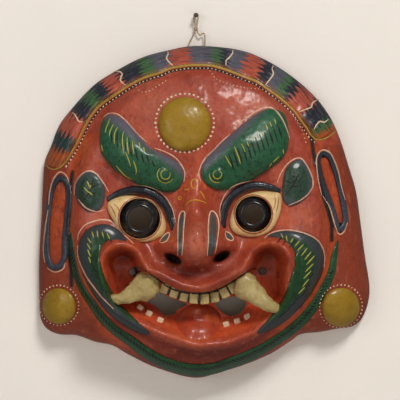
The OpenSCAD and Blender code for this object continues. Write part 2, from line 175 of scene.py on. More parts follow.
def studio_sheet(name, half, mat, turn, place):
    """A square sheet, turned about the sideways axis and then moved to its place."""
    bm = bmesh.new()
    bmesh.ops.create_grid(bm, x_segments=2, y_segments=2, size=half)
    bmesh.ops.rotate(bm, verts=bm.verts, matrix=Matrix.Rotation(math.radians(turn), 3, "X"))
    bmesh.ops.translate(bm, verts=bm.verts, vec=place)
    sheet = raw_object(name, bm)
    sheet.data.materials.append(mat)
    sheet.visible_glossy = False
    return sheet


def add_room_light():
    """Weak light from all round, and a paler colour where the room itself is looked at."""
    world = bpy.data.worlds.new("room")
    bpy.context.scene.world = world
    world.use_nodes = True
    nodes, links = world.node_tree.nodes, world.node_tree.links
    lit, behind = nodes["Background"], nodes.new("ShaderNodeBackground")
    for background, strength in ((lit, ROOM_LIGHT), (behind, ROOM_BEHIND)):
        background.inputs["Color"].default_value = ROOM_COLOUR
        background.inputs["Strength"].default_value = strength
    choose = nodes.new("ShaderNodeMixShader")
    links.new(nodes.new("ShaderNodeLightPath").outputs["Is Camera Ray"], choose.inputs["Fac"])
    links.new(lit.outputs["Background"], choose.inputs[1])
    links.new(behind.outputs["Background"], choose.inputs[2])
    links.new(choose.outputs["Shader"], nodes["World Output"].inputs["Surface"])


def add_studio():
    floor = studio_sheet("pale_floor", FLOOR_HALF, studio_paint("floor_paint", False), 0,
                         (0, 0, FLOOR_Z))
    wall = studio_sheet("pale_wall", WALL_HALF, studio_paint("wall_paint", True), 90,
                        (0, WALL_GAP, FLOOR_Z + WALL_HALF))
    wall.visible_diffuse = False
    wall.visible_shadow = False
    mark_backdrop(floor, wall)
    for name, settings in LIGHTS.items():
        light = add_light(name, *settings)
        light.visible_glossy = name != "hollow_fill"
    add_room_light()
    bpy.context.scene.view_settings.view_transform = "Standard"


add_camera()
add_studio()


# ---- Curves through given points ----

def through(points, count, closed=False):
    """count points along the smooth curve through the given ones."""
    p = np.array(points, float)
    m = len(p)
    spans = m if closed else m - 1
    s = np.arange(count) * spans / count if closed else np.linspace(0, spans, count)
    i = np.minimum(s.astype(int), spans - 1)
    t = (s - i)[:, None]
    pick = (lambda k: p[k % m]) if closed else (lambda k: p[np.clip(k, 0, m - 1)])
    a, b, c, d = pick(i - 1), pick(i), pick(i + 1), pick(i + 2)
    return (2 * b + (c - a) * t + (2 * a - 5 * b + 4 * c - d) * t * t
            + (3 * b - a - 3 * c + d) * t ** 3) / 2


def even(curve, count):
    """The same curve with its points evenly spaced."""
    steps = np.linalg.norm(np.diff(curve[:, :2], axis=0), axis=1)
    s = np.concatenate([[0], np.cumsum(steps)])
    t = np.linspace(0, s[-1], count)
    return np.stack([np.interp(t, s, curve[:, k]) for k in range(curve.shape[1])], axis=1)


def right_of(run):
    """Unit steps to the right of the given steps along a curve."""
    side = np.stack([run[:, 1], -run[:, 0]], axis=1)
    return side / np.maximum(1e-9, np.linalg.norm(side, axis=1))[:, None]


def length_of(curve):
    return float(np.linalg.norm(np.diff(np.array(curve)[:, :2], axis=0), axis=1).sum())


# ---- The moulded surface, as in the frame ----

PANEL_DEPTH = 42
FACE_RAISE = 17
NOSE_RAISE = 31
LIP_RAISE = 11
MOUTH_RECESS = 25
NOSTRIL_DEPTH = 9
WALL = 3.5
PAD_WALL = 1.6
STRIP_WALL = 1.4
LOOP_WALL = 1.2
PAINT_WALL = 0.3
BEDDED = 0.35

centre = np.array([6.0, 0.0])
outline_points = [
    (-139, 20), (-140, -5), (-142, -40), (-142, -74), (-141, -95), (-135, -106),
    (-124, -111), (-108, -112), (-91, -118), (-76, -121), (-62, -129), (-42, -139),
    (-22, -146), (-6, -150), (6, -150), (20, -146), (43, -139), (67, -129), (86, -117),
    (95, -111), (112, -109), (128, -106), (141, -104), (150, -97), (156, -82), (157, -66),
    (153, -40), (149, -10), (145, 18), (138, 42), (130, 67), (120, 88), (103, 109),
    (76, 130), (48, 144), (22, 149), (-4, 150), (-26, 146), (-48, 140), (-70, 129),
    (-92, 115), (-112, 94), (-124, 78), (-131, 60), (-137, 45),
]
outline = through(outline_points, 8 * len(outline_points), closed=True) - centre
outline_turn = np.arctan2(outline[:, 1], outline[:, 0])
outline_order = np.argsort(outline_turn)
OUTLINE_TURN = outline_turn[outline_order]
OUTLINE_REACH = 0.997 * np.hypot(outline[:, 0], outline[:, 1])[outline_order]

MOUTH = [
    (-66, -47.5, 14), (-58, -70, 18), (-41, -78, 20), (-20, -88, 19), (4, -94, 20),
    (22, -91, 22), (38, -84, 23), (58, -70, 20), (65, -46, 14),
]


def reach(turn):
    return np.interp(turn, OUTLINE_TURN, OUTLINE_REACH, period=TAU)


def ease(v):
    c = np.clip(v, 0, 1)
    return c * c * (3 - 2 * c)


def swell(x, u, at, size):
    return np.exp(-((x - at[0]) / size[0]) ** 2 - ((u - at[1]) / size[1]) ** 2)


def bulb(x, u, at, size):
    return np.exp(-np.hypot((x - at[0]) / size[0], (u - at[1]) / size[1]) ** 3)


def slant_swell(x, u, at, size, degrees):
    c, s = math.cos(math.radians(degrees)), math.sin(math.radians(degrees))
    dx, du = x - at[0], u - at[1]
    return np.exp(-((dx * c + du * s) / size[0]) ** 2 - ((du * c - dx * s) / size[1]) ** 2)


def chain_gap(x, u, chain):
    """Distance from a chain of round stretches, negative inside it."""
    gaps = []
    for (ax, au, ar), (bx, bu, br) in zip(chain, chain[1:]):
        rx, ru = bx - ax, bu - au
        t = np.clip(((x - ax) * rx + (u - au) * ru) / (rx * rx + ru * ru), 0, 1)
        gaps.append(np.hypot(x - ax - rx * t, u - au - ru * t) - (ar + (br - ar) * t))
    return np.minimum.reduce(gaps)


def face_ring(x, u):
    """0 at the middle of the face and 1 where it meets the ear panels."""
    return np.hypot((x - 3) / 118, (u + 6) / 141)


def skin(x, u):
    """How far the moulded face stands out from the wall, in millimetres."""
    x, u = np.asarray(x, float), np.asarray(u, float)
    dx, du = x - centre[0], u - centre[1]
    t = np.minimum(1, np.hypot(dx, du) / reach(np.arctan2(du, dx)))
    edge = np.sqrt(np.maximum(0, 1 - t ** 5))
    lip_slope = 8 + 13 * ease((-u - 72) / 16)
    m = chain_gap(x, u, MOUTH)
    return edge * (
        PANEL_DEPTH
        + FACE_RAISE * ease((1.03 - face_ring(x, u)) / 0.13)
        + NOSE_RAISE * bulb(x, u, (0, -27), (19, 20))
        + 14 * swell(x, u, (0, 8), (12, 26))
        + 16 * bulb(x, u, (-24, -32), (10, 8.5))
        + 16 * bulb(x, u, (25, -30), (10, 8.5))
        - 5 * swell(x, u, (0, -54), (30, 7))
        - 9 * slant_swell(x, u, (-20, -40), (6, 4), -35)
        - 9 * slant_swell(x, u, (22, -38), (6, 4), 35)
        + 9 * swell(x, u, (0, -56), (62, 17))
        + 8 * swell(x, u, (-84, -32), (26, 32))
        + 8 * swell(x, u, (90, -34), (26, 32))
        + 7 * swell(x, u, (4, -128), (50, 13))
        + 6 * swell(x, u, (-48, 52), (34, 20))
        + 6 * swell(x, u, (44, 54), (34, 20))
        + 4 * swell(x, u, (-8, 86), (60, 34))
        - 7 * swell(x, u, (-50, -4), (23, 20))
        - 7 * swell(x, u, (51, -1), (23, 20))
        - MOUTH_RECESS * ease((2 - m) / lip_slope)
        + LIP_RAISE * np.exp(-((m - 5) / 5.5) ** 2)
    )


def hand_marks(x, u, fine=1.0):
    """The unevenness that hand-laid paper and pulp leave, in millimetres."""
    soft = np.array([
        0.8 * noise.noise((a / 24, b / 24, 3.1)) + 0.6 * noise.noise((a / 10, b / 10, 7.7))
        for a, b in zip(x, u)
    ])
    small = np.array([noise.noise((a / 3.1, b / 3.1, 1.3)) for a, b in zip(x, u)])
    return soft + 0.18 * fine * small


def laid_on(x, u, rise, marks=1.0):
    """The depth of a piece's outer face that rises from the moulded face it is bedded in."""
    return skin(x, u) + rise + marks * hand_marks(x, u) - BEDDED


def to_space(x, u, depth):
    return np.stack([x * MM, -depth * MM, MID_Z + u * MM], axis=-1)


# ---- Pieces ----

def place_verts(verts, points):
    for v, p in zip(verts, points):
        v.co = p


def make_piece(name, bm, mat, node=None, body="mask"):
    """Turns a finished bmesh into a piece that rides on a body and stands for a CAD node."""
    return dress_piece(raw_object(name, bm), mat, node, body)


def dress_piece(obj, mat, node=None, body="mask"):
    obj.data.materials.clear()
    obj.data.materials.append(mat)
    obj.data.polygons.foreach_set("use_smooth", [True] * len(obj.data.polygons))
    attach(obj, body)
    if node:
        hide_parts(node)
    return obj


def plan_of(obj):
    """Plan coordinates of each vertex of a piece, in millimetres."""
    co = np.empty(3 * len(obj.data.vertices))
    obj.data.vertices.foreach_get("co", co)
    co = co.reshape(-1, 3)
    return co[:, 0] / MM, (co[:, 2] - MID_Z) / MM, -co[:, 1] / MM


def paint_map(obj, name, values):
    """Stores one number per vertex, which a material reads by name."""
    layer = obj.data.attributes.new(name, "FLOAT", "POINT")
    layer.data.foreach_set("value", np.asarray(values, float))


def round_grid(bm, n):
    """A square grid whose cells are to be laid on a disc: t from the middle, turn round it."""
    verts = bmesh.ops.create_grid(bm, x_segments=n, y_segments=n, size=1)["verts"]
    a = np.array([v.co.x for v in verts])
    b = np.array([v.co.y for v in verts])
    t = np.maximum(np.abs(a), np.abs(b))
    wide = np.abs(a) >= np.abs(b)
    safe_a = np.where(a == 0, 1, a)
    safe_b = np.where(b == 0, 1, b)
    turn = np.where(
        wide,
        np.pi / 4 * b / safe_a + np.where(a < 0, np.pi, 0),
        np.pi / 2 * np.sign(b) - np.pi / 4 * a / safe_b,
    )
    crowded = 1.068 * t - 0.068 * t ** 12
    return verts, crowded, turn


def disc_points(curve, middle, t, turn):
    """Plan points at t of the way from middle to a closed curve, turn round it."""
    m = len(curve)
    s = (turn / TAU % 1) * m
    i = s.astype(int) % m
    f = (s - np.floor(s))[:, None]
    rim = curve[i] * (1 - f) + curve[(i + 1) % m] * f
    return np.array(middle) + t[:, None] * (rim - np.array(middle))


def close_under(bm, thickness):
    """Gives an open patch a wall behind it, in mm, and turns its faces outwards."""
    bmesh.ops.solidify(bm, geom=bm.faces[:], thickness=thickness * MM)
    bmesh.ops.recalc_face_normals(bm, faces=bm.faces)


def pad_piece(name, points, middle, height, mat, node, n=44, fullness=2.5, sharp=0.5):
    """A pillowed pad of pulp inside a closed plan curve."""
    curve = through(points, 160, closed=True)
    bm = bmesh.new()
    verts, t, turn = round_grid(bm, n)
    p = disc_points(curve, middle, t, turn)
    rise = height * np.maximum(0, 1 - t ** fullness) ** sharp
    place_verts(verts, to_space(*p.T, laid_on(*p.T, rise)))
    close_under(bm, PAD_WALL)
    return make_piece(name, bm, mat, node)


def strip_points(route, rows, across):
    """Plan points of a strip, with each point's place along it and across it."""
    r = even(through(route, 12 * len(route)), rows)
    side = right_of(np.gradient(r[:, :2], axis=0))
    c = np.linspace(-1, 1, across)
    p = r[:, None, :2] + side[:, None, :] * (r[:, 2, None] * c)[..., None]
    along = np.repeat(np.linspace(0, 1, rows), across)
    return p.reshape(-1, 2), along, np.tile(c, rows)


def strip_grid(bm, rows, across):
    """Grid vertices in the order of strip_points."""
    return bmesh.ops.create_grid(
        bm, x_segments=across - 1, y_segments=rows - 1, size=1)["verts"]


def strip_piece(name, route, height, mat, node, across=13, step=1.3, power=0.5):
    """A rounded strip of pulp along a route of (across, up, half width)."""
    rows = max(8, int(length_of(through(route, 60)) / step))
    bm = bmesh.new()
    verts = strip_grid(bm, rows, across)
    p, along, c = strip_points(route, rows, across)
    tip = np.sqrt(np.sin(np.pi * np.clip(0.03 + 0.94 * along, 0, 1)))
    rise = height * np.maximum(0, 1 - c * c) ** power * tip
    place_verts(verts, to_space(*p.T, laid_on(*p.T, rise)))
    close_under(bm, STRIP_WALL)
    return make_piece(name, bm, mat, node)


# ---- Paints ----

def linear(r, g, b):
    """A paint colour given as it looks on a screen, 0 to 255."""
    return tuple(
        c / 12.92 if c <= 0.04045 else ((c + 0.055) / 1.055) ** 2.4
        for c in (r / 255, g / 255, b / 255)
    )


class Paint:
    """A varnished paint whose colour is built up in layers, given as they look on a screen."""

    def __init__(self, name, slot, base, roughness=0.42, coat=0.4, bump=0.35, grain=1.0):
        self.mat = bpy.data.materials.new(name)
        self.mat.use_nodes = True
        self.nodes = self.mat.node_tree.nodes
        self.links = self.mat.node_tree.links
        self.shader = self.nodes["Principled BSDF"]
        self.shader.inputs["Coat Weight"].default_value = coat
        self.shader.inputs["Coat Roughness"].default_value = 0.2
        self.shader.inputs["Specular IOR Level"].default_value = 0.3
        self.where = self.nodes.new("ShaderNodeTexCoord").outputs["Object"]
        ground = self.nodes.new("ShaderNodeRGB")
        ground.outputs[0].default_value = (*linear(*base), 1)
        self.colour = ground.outputs[0]
        self.links.new(self.colour, self.shader.inputs["Base Color"])
        self.set_surface(roughness, bump, grain)

    def noise(self, size_mm, detail=4, stretch=(1, 1, 1)):
        """Noise whose features are about size_mm across."""
        mapping = self.nodes.new("ShaderNodeMapping")
        mapping.inputs["Scale"].default_value = stretch
        tex = self.nodes.new("ShaderNodeTexNoise")
        tex.inputs["Scale"].default_value = 1000 / size_mm
        tex.inputs["Detail"].default_value = detail
        tex.inputs["Roughness"].default_value = 0.6
        self.links.new(self.where, mapping.inputs["Vector"])
        self.links.new(mapping.outputs[0], tex.inputs["Vector"])
        return tex.outputs["Fac"]

    def ramp(self, value, low, high):
        node = self.nodes.new("ShaderNodeMapRange")
        node.interpolation_type = "SMOOTHSTEP"
        node.inputs["From Min"].default_value = low
        node.inputs["From Max"].default_value = high
        self.links.new(value, node.inputs["Value"])
        return node.outputs["Result"]

    def math(self, kind, a, b):
        node = self.nodes.new("ShaderNodeMath")
        node.operation = kind
        for socket, value in zip(node.inputs, (a, b)):
            if isinstance(value, (int, float)):
                socket.default_value = value
            else:
                self.links.new(value, socket)
        return node.outputs[0]

    def attribute(self, name):
        node = self.nodes.new("ShaderNodeAttribute")
        node.attribute_name = name
        return node.outputs["Fac"]

    def over(self, colour, mask, strength=1.0):
        """Lays a colour over what is there, where mask is 1."""
        mix = self.nodes.new("ShaderNodeMix")
        mix.data_type = "RGBA"
        if strength != 1.0:
            mask = self.math("MULTIPLY", mask, strength)
        self.links.new(mask, mix.inputs["Factor"])
        self.links.new(self.colour, mix.inputs["A"])
        if isinstance(colour, (tuple, list)):
            mix.inputs["B"].default_value = (*linear(*colour), 1)
        else:
            self.links.new(colour, mix.inputs["B"])
        self.colour = mix.outputs["Result"]
        self.links.new(self.colour, self.shader.inputs["Base Color"])

    def flecks(self, colour, size_mm, low, high, strength, detail=4, stretch=(1, 1, 1)):
        """Lays a colour where noise of the given size is above a soft threshold."""
        self.over(colour, self.ramp(self.noise(size_mm, detail, stretch), low, high), strength)

    def set_surface(self, roughness, bump, grain):
        blotch = self.noise(9, 3)
        rough = self.nodes.new("ShaderNodeMapRange")
        rough.inputs["To Min"].default_value = roughness - 0.09
        rough.inputs["To Max"].default_value = roughness + 0.16
        self.links.new(blotch, rough.inputs["Value"])
        self.links.new(rough.outputs[0], self.shader.inputs["Roughness"])
        pulp = self.noise(2.6 * grain, 5)
        brush = self.noise(1.4 * grain, 2, (1, 1, 0.22))
        dents = self.noise(8 * grain, 2)
        height = self.math("ADD", pulp, self.math("MULTIPLY", brush, 0.5))
        height = self.math("ADD", height, self.math("MULTIPLY", dents, 2.2))
        relief = self.nodes.new("ShaderNodeBump")
        relief.inputs["Strength"].default_value = bump
        relief.inputs["Distance"].default_value = 0.0008
        self.links.new(height, relief.inputs["Height"])
        self.links.new(relief.outputs[0], self.shader.inputs["Normal"])


def mottled(name, slot, base, light, dark, **surface):
    """Brushed paint with paler worn passages and darker, thicker ones."""
    p = Paint(name, slot, base, **surface)
    p.flecks(light, 16, 0.48, 0.75, 0.55)
    p.flecks(dark, 7, 0.5, 0.8, 0.6, detail=5)
    p.flecks(dark, 1.6, 0.62, 0.78, 0.35, detail=2)
    return p.mat


# ---- Cord, knots and nail ----

CORD_Y = -4
cord_route = [
    (-7, -33.9), (-7, -32), (-6.8, -27), (-5.2, -23), (-3.2, -19), (-1.4, -15.5), (-0.8, -13),
    (-0.7, -11.4), (-1, -8), (-1.7, -4), (-1.85, -1), (-1.7, 0.7), (-1, 1.6), (0, 1.9),
    (1, 1.6), (1.7, 0.7), (1.85, -1), (1.7, -4), (1, -8), (0.7, -11.4), (0.9, -13.2),
    (1.8, -15.8), (3.4, -17.8), (4.6, -17.6), (5.6, -16.4), (6.8, -16), (7.6, -17.4),
    (8, -20), (8.1, -24), (8, -28), (8, -32), (8, -33.9),
]


def tube(bm, line, radii, sides, twist=0.0, lobes=0, depth=0.0):
    """A round bar along points in space, its ends drawn to a close."""
    rows = len(line)
    verts = strip_grid(bm, rows, sides + 1)
    line = np.array(line, float)
    run = np.gradient(line, axis=0)
    run /= np.linalg.norm(run, axis=1)[:, None]
    side = np.cross(run, (0, 1, 0))
    side /= np.linalg.norm(side, axis=1)[:, None]
    out = np.cross(side, run)
    a = np.linspace(0, TAU, sides + 1)
    s = np.concatenate([[0], np.cumsum(np.linalg.norm(np.diff(line, axis=0), axis=1))])
    r = np.array(radii)[:, None] * (
        1 + depth * np.cos(lobes * (a[None, :] + twist * s[:, None]))
    ) if lobes else np.repeat(np.array(radii)[:, None], sides + 1, axis=1)
    points = (line[:, None] + r[..., None] * (
        side[:, None] * np.cos(a)[None, :, None] + out[:, None] * np.sin(a)[None, :, None]))
    place_verts(verts, points.reshape(-1, 3))
    bmesh.ops.remove_doubles(bm, verts=verts, dist=1e-7)
    open_edges = [e for e in bm.edges if len(e.link_faces) == 1]
    bmesh.ops.holes_fill(bm, edges=open_edges, sides=0)
    bmesh.ops.recalc_face_normals(bm, faces=bm.faces)


def knot_lump(bm, at, r, seed):
    """A small pulled-tight knot: a ball with turns of twine showing on it."""
    verts = bmesh.ops.create_uvsphere(bm, u_segments=24, v_segments=14, radius=r)["verts"]
    for v in verts:
        d = v.co.normalized()
        turn = math.atan2(d.z, d.x)
        groove = 0.5 + 0.5 * math.cos(5 * d.y + 2.6 * math.sin(turn + seed) + seed)
        v.co = d * r * (0.86 + 0.14 * groove) + Vector(at)


def build_cord():
    twine = Paint("waxed_twine", "twine", (186, 164, 128), roughness=0.7, coat=0.0, bump=0.5,
                  grain=0.4)
    twine.flecks((112, 92, 66), 1.1, 0.45, 0.75, 0.6, detail=3)
    flat = through(cord_route, 6 * len(cord_route))
    line = np.stack([flat[:, 0], np.full(len(flat), CORD_Y), flat[:, 1]], axis=1) * MM
    cord_r = 0.0006
    bm = bmesh.new()
    tube(bm, line, [cord_r] * len(line), 18, twist=900, lobes=3, depth=0.1)
    cord_piece = make_piece("twine_cord", bm, twine.mat, "hanging_cord", "cord")
    bm = bmesh.new()
    low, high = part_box("cord_knot")
    knot_lump(bm, [(a + b) / 2 for a, b in zip(low, high)], (high[0] - low[0]) / 2, 0.4)
    knot = make_piece("twine_knot", bm, twine.mat, "cord_knot", "cord")
    bm = bmesh.new()
    low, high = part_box("stopper_knots")
    r = (high[2] - low[2]) / 2
    for x, seed in ((low[0] + r, 1.1), (high[0] - r, 2.3)):
        knot_lump(bm, (x, (low[1] + high[1]) / 2, (low[2] + high[2]) / 2), r, seed)
    ends = make_piece("twine_end_knots", bm, twine.mat, "stopper_knots", "cord")


build_cord()
rust = Paint("rusted_steel", None, (92, 86, 80), roughness=0.45, coat=0.0, bump=0.3, grain=0.5)
rust.shader.inputs["Metallic"].default_value = 0.8
rust.flecks((84, 52, 34), 2, 0.5, 0.7, 0.7)
nail = frame["nodes"]["wall_nail"]
nail.data.materials.clear()
nail.data.materials.append(rust.mat)


# ---- Paints ----

def red_varnish():
    """Red brushed on thin and thick, with passages, painted highlights and painted shade that
    paint_face() lays out on the face.
    """
    p = Paint("red_varnished_paint", "red_paper", (162, 64, 44), roughness=0.5, coat=0.34,
              bump=0.55)
    p.flecks((196, 98, 66), 26, 0.46, 0.7, 0.6)
    p.flecks((120, 42, 28), 42, 0.45, 0.7, 0.6)
    p.flecks((188, 76, 34), 15, 0.54, 0.7, 0.45)
    p.flecks((128, 36, 20), 11, 0.5, 0.74, 0.6, detail=5)
    p.over((132, 54, 28), p.attribute("panel"), 0.7)
    p.over((196, 74, 34), p.attribute("recess"), 0.8)
    warm_edge = p.math("MULTIPLY", p.attribute("warm"), p.ramp(p.noise(9), 0.3, 0.55))
    p.over((198, 80, 28), warm_edge, 0.65)
    # Painted highlight with some rubbed wear: paler paint on the nose tip, the forehead and the
    # cheeks
    p.over((212, 122, 94), p.attribute("wear_and_highlight"), 0.6)
    p.over((96, 22, 12), p.attribute("shade"), 0.85)
    p.flecks((104, 34, 20), 4, 0.53, 0.7, 0.42, stretch=(1, 1, 0.5))
    p.flecks((206, 122, 92), 5, 0.56, 0.7, 0.3, stretch=(1, 1, 0.3))
    p.flecks((222, 150, 126), 1.5, 0.68, 0.78, 0.35, detail=3)
    p.flecks((84, 24, 14), 2.2, 0.6, 0.76, 0.25, detail=3, stretch=(1, 1, 0.3))
    # Dark crease lines and nostrils, with painted shade: black patches round the tie holes that
    # darken them as if deep
    p.over((20, 20, 20), p.attribute("creases_and_tie_hole_shade"), 0.95)
    p.over((92, 72, 50), p.attribute("inside"))
    pulp_marks = p.math("MULTIPLY", p.attribute("inside"), p.ramp(p.noise(14, 5), 0.42, 0.62))
    p.over((70, 54, 38), pulp_marks, 0.8)
    return p.mat


def two_tone(name, slot, low, high, map_name):
    """Brushed paint that turns from one colour to another across a painted edge."""
    p = Paint(name, slot, low)
    p.flecks([0.55 * c for c in low], 5, 0.45, 0.72, 0.65)
    p.flecks([min(255, 1.35 * c) for c in low], 3, 0.55, 0.75, 0.5)
    ragged = p.math("MULTIPLY", p.math("SUBTRACT", p.noise(2.4, 3), 0.5), 0.5)
    edge = p.math("ADD", p.attribute(map_name), ragged)
    p.over(high, p.ramp(edge, 0.05, 0.6), 0.9)
    p.flecks((18, 22, 24), 1.4, 0.66, 0.74, 0.5, detail=2)
    return p.mat


red_paint = red_varnish()
brow_paint = two_tone("brow_green_paint", "green_paper", (38, 92, 62), (100, 92, 108), "upper")
flame_paint = two_tone("flame_green_paint", "green_paper", (28, 70, 36), (56, 60, 66), "outer")
leaf_paint = two_tone("leaf_slate_paint", "slate_paper", (38, 66, 48), (74, 82, 88), "outer")
beard_paint = two_tone("beard_green_paint", "green_paper", (34, 84, 48), (30, 70, 44), "upper")
loop_paint = two_tone("loop_slate_paint", "slate_paper", (64, 72, 84), (44, 50, 60), "upper")
ochre_paint = mottled("ochre_paint", "ochre_paper",
                      (154, 120, 24), (182, 150, 52), (112, 78, 10))
black_paint = mottled("black_gloss_paint", "black_paper",
                      (20, 20, 22), (40, 40, 46), (8, 8, 8), roughness=0.22, coat=0.9, bump=0.08)
lid_paint = mottled("lid_blue_black_paint", "black_paper",
                    (26, 30, 40), (52, 58, 72), (10, 10, 14), roughness=0.25, coat=0.8, bump=0.12)
cream_paint = mottled("cream_paint", "cream_paper",
                      (222, 188, 130), (232, 206, 158), (182, 130, 78))
ivory_paint = mottled("ivory_pulp", "ivory_paper",
                      (172, 152, 98), (208, 188, 138), (116, 88, 46),
                      roughness=0.5, coat=0.2, bump=0.8)
tooth_paint = mottled("tooth_paint", "ivory_paper",
                      (196, 170, 114), (220, 200, 148), (140, 108, 60),
                      roughness=0.4, coat=0.3, bump=0.4)
pale_tooth_paint = mottled("pale_tooth_paint", "ivory_paper",
                           (216, 182, 150), (234, 208, 182), (176, 112, 84))
tongue_paint = mottled("tongue_paint", "dark_red_paper",
                       (168, 62, 36), (206, 108, 48), (120, 38, 22))
yellow_line_paint = mottled("yellow_line_paint", "ochre_paper",
                            (170, 140, 56), (196, 170, 92), (110, 84, 30))
hatch_paint = mottled("hatch_yellow_paint", "ochre_paper",
                      (176, 168, 66), (202, 194, 100), (104, 110, 40))
black_line_paint = mottled("black_line_paint", "black_paper",
                           (30, 28, 28), (52, 50, 50), (12, 12, 12))
white_paint = mottled("white_dot_paint", "cream_paper",
                      (232, 206, 172), (240, 224, 200), (200, 150, 116))
pink_line_paint = mottled("pink_line_paint", "cream_paper",
                          (222, 172, 146), (236, 204, 182), (184, 104, 78))
gold_paint = mottled("gold_line_paint", "ochre_paper",
                     (196, 138, 40), (214, 166, 70), (150, 84, 26))
vein_paint = mottled("vein_brown_paint", "cream_paper",
                     (158, 84, 44), (180, 110, 66), (120, 56, 30))
crease_paint = mottled("crease_dark_paint", "black_paper",
                       (34, 34, 34), (60, 60, 62), (18, 18, 16))
nose_stripe_paint = mottled("nose_stripe_paint", "slate_paper",
                            (72, 80, 84), (112, 118, 112), (50, 56, 54))

STRIPE_FROM, STRIPE_TO = 163.5, 31.2
stripe_colours = {
    "orange": (176, 84, 30), "blue_green": (34, 62, 62), "red": (184, 84, 62),
    "dark": (40, 44, 54), "green": (66, 106, 60), "grey": (92, 92, 104),
}
# Each stripe of the head band: its colour, and the bearing in degrees where it ends
head_stripes = [
    ("orange", 157), ("blue_green", 150.9), ("red", 142.9), ("dark", 137.3), ("green", 132.7),
    ("dark", 128), ("red", 121.7), ("dark", 113.6), ("green", 109), ("grey", 102.4),
    ("red", 95), ("grey", 87), ("green", 83.7), ("dark", 80.3), ("grey", 74.9), ("red", 68.2),
    ("dark", 63.8), ("grey", 58.6), ("green", 55.6), ("dark", 52.8), ("red", 44.8),
    ("dark", 37.4), ("green", 34.3), ("orange", 31.2),
]


def band_paint():
    """Stripes whose borders are combed into each other with a dry brush, along the band."""
    p = Paint("head_band_paint", "striped_paper", (90, 90, 100), bump=0.45)
    along, across = p.attribute("along_band"), p.attribute("across_band")

    def band_noise(scale_along, scale_across, shift):
        where = p.nodes.new("ShaderNodeCombineXYZ")
        p.links.new(p.math("MULTIPLY", along, scale_along), where.inputs[0])
        p.links.new(p.math("MULTIPLY", across, scale_across), where.inputs[1])
        where.inputs[2].default_value = shift
        tex = p.nodes.new("ShaderNodeTexNoise")
        tex.inputs["Scale"].default_value = 1
        tex.inputs["Detail"].default_value = 2
        p.links.new(where.outputs[0], tex.inputs["Vector"])
        return tex.outputs["Fac"]

    wander = band_noise(9, 2.5, 4.4)
    teeth = p.math("PINGPONG", p.math("ADD", p.math("MULTIPLY", across, 5.5), wander), 0.5)
    comb = p.math("MULTIPLY", p.math("SUBTRACT", teeth, 0.25), 0.042)
    soft = p.math("MULTIPLY", p.math("SUBTRACT", band_noise(30, 7, 1.2), 0.5), 0.03)
    place = p.math("ADD", p.math("ADD", along, comb), soft)
    ramp = p.nodes.new("ShaderNodeValToRGB")
    ramp.color_ramp.interpolation = "CONSTANT"
    p.links.new(place, ramp.inputs["Fac"])
    start = 0.0
    marks = ramp.color_ramp.elements
    marks.remove(marks[1])
    for i, (colour, bearing) in enumerate(head_stripes):
        mark = marks[0] if i == 0 else marks.new(start)
        mark.position = start
        mark.color = (*linear(*stripe_colours[colour]), 1)
        start = (STRIPE_FROM - bearing) / (STRIPE_FROM - STRIPE_TO)
    p.over(ramp.outputs["Color"], p.ramp(p.noise(4, 3), -1, -0.5))
    p.over((22, 26, 38), p.ramp(band_noise(26, 26, 7.7), 0.5, 0.62), 0.6)
    p.over((150, 150, 158), p.ramp(band_noise(34, 30, 2.2), 0.58, 0.72), 0.35)
    p.over((170, 84, 22), p.ramp(across, 0.3, 0.02), 0.35)
    return p.mat


band_stripes_paint = band_paint()


# ---- Face shell ----

eye_left = (-50, -6)
eye_right = (51, -2)
tie_left = (-57, -54)
tie_right = (59.5, -53)
TIE_HOLE_R = 2.8
CORD_HOLE_R = 1.9
STOPPER_R = 2.1
CUT_FROM, CUT_LENGTH = -6, 140
mouth_hole_left = [
    (-46, -79), (-42, -75), (-35, -71), (-23, -77), (-14, -80), (-8, -83), (-17, -88),
    (-20, -92), (-29, -92), (-36, -85),
]
mouth_hole_right = [
    (17, -81), (28, -77), (35, -76), (42, -78), (45, -82), (41, -90), (35, -93),
    (29, -93), (21, -88),
]
crease_left = [
    (-110.5, 35.5), (-112.5, 24), (-112.5, 10.5), (-114.5, -7.5), (-115, -23.5), (-113.5, -39),
    (-111.5, -52.5), (-111.5, -66),
]
crease_right = [
    (103.5, 67), (104.5, 55.5), (107, 42), (110.5, 28.5), (113.5, 15), (118, 1.5),
    (121.5, -12), (121.5, -25.5),
]


def add_prism(bm, curve):
    """A bar through the wall with the given plan outline."""
    ring = to_space(*curve.T, np.full(len(curve), CUT_FROM))
    face = bm.faces.new([bm.verts.new(p) for p in ring])
    grown = bmesh.ops.extrude_face_region(bm, geom=[face])["geom"]
    bmesh.ops.translate(bm, verts=[g for g in grown if isinstance(g, bmesh.types.BMVert)],
                        vec=(0, -CUT_LENGTH * MM, 0))


def circle_curve(at, r, count=48):
    a = np.linspace(0, TAU, count, endpoint=False)
    return np.stack([at[0] + r * np.cos(a), at[1] + r * np.sin(a)], axis=1)


def iris_radius(node):
    low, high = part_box(node)
    return (high[0] - low[0]) / 2 / MM


def hole_cutter():
    """Bars for the sight, tie, mouth and cord holes."""
    bm = bmesh.new()
    for node, at in (("iris_left", eye_left), ("iris_right", eye_right)):
        add_prism(bm, circle_curve(at, iris_radius(node) - 5))
    for at in (tie_left, tie_right):
        add_prism(bm, circle_curve(at, TIE_HOLE_R, 24))
    for hole in (mouth_hole_left, mouth_hole_right):
        add_prism(bm, through(hole, 60, closed=True))
    low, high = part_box("stopper_knots")
    drill_above, drill_length = 5, 14
    for x in (low[0] + STOPPER_R * MM, high[0] - STOPPER_R * MM):
        drill = Matrix.Translation((x, (low[1] + high[1]) / 2, high[2] + drill_above * MM))
        bmesh.ops.create_cone(bm, cap_ends=True, segments=20, radius1=CORD_HOLE_R * MM,
                              radius2=CORD_HOLE_R * MM, depth=drill_length * MM, matrix=drill)
    bmesh.ops.recalc_face_normals(bm, faces=bm.faces)
    return raw_object("cutter", bm)


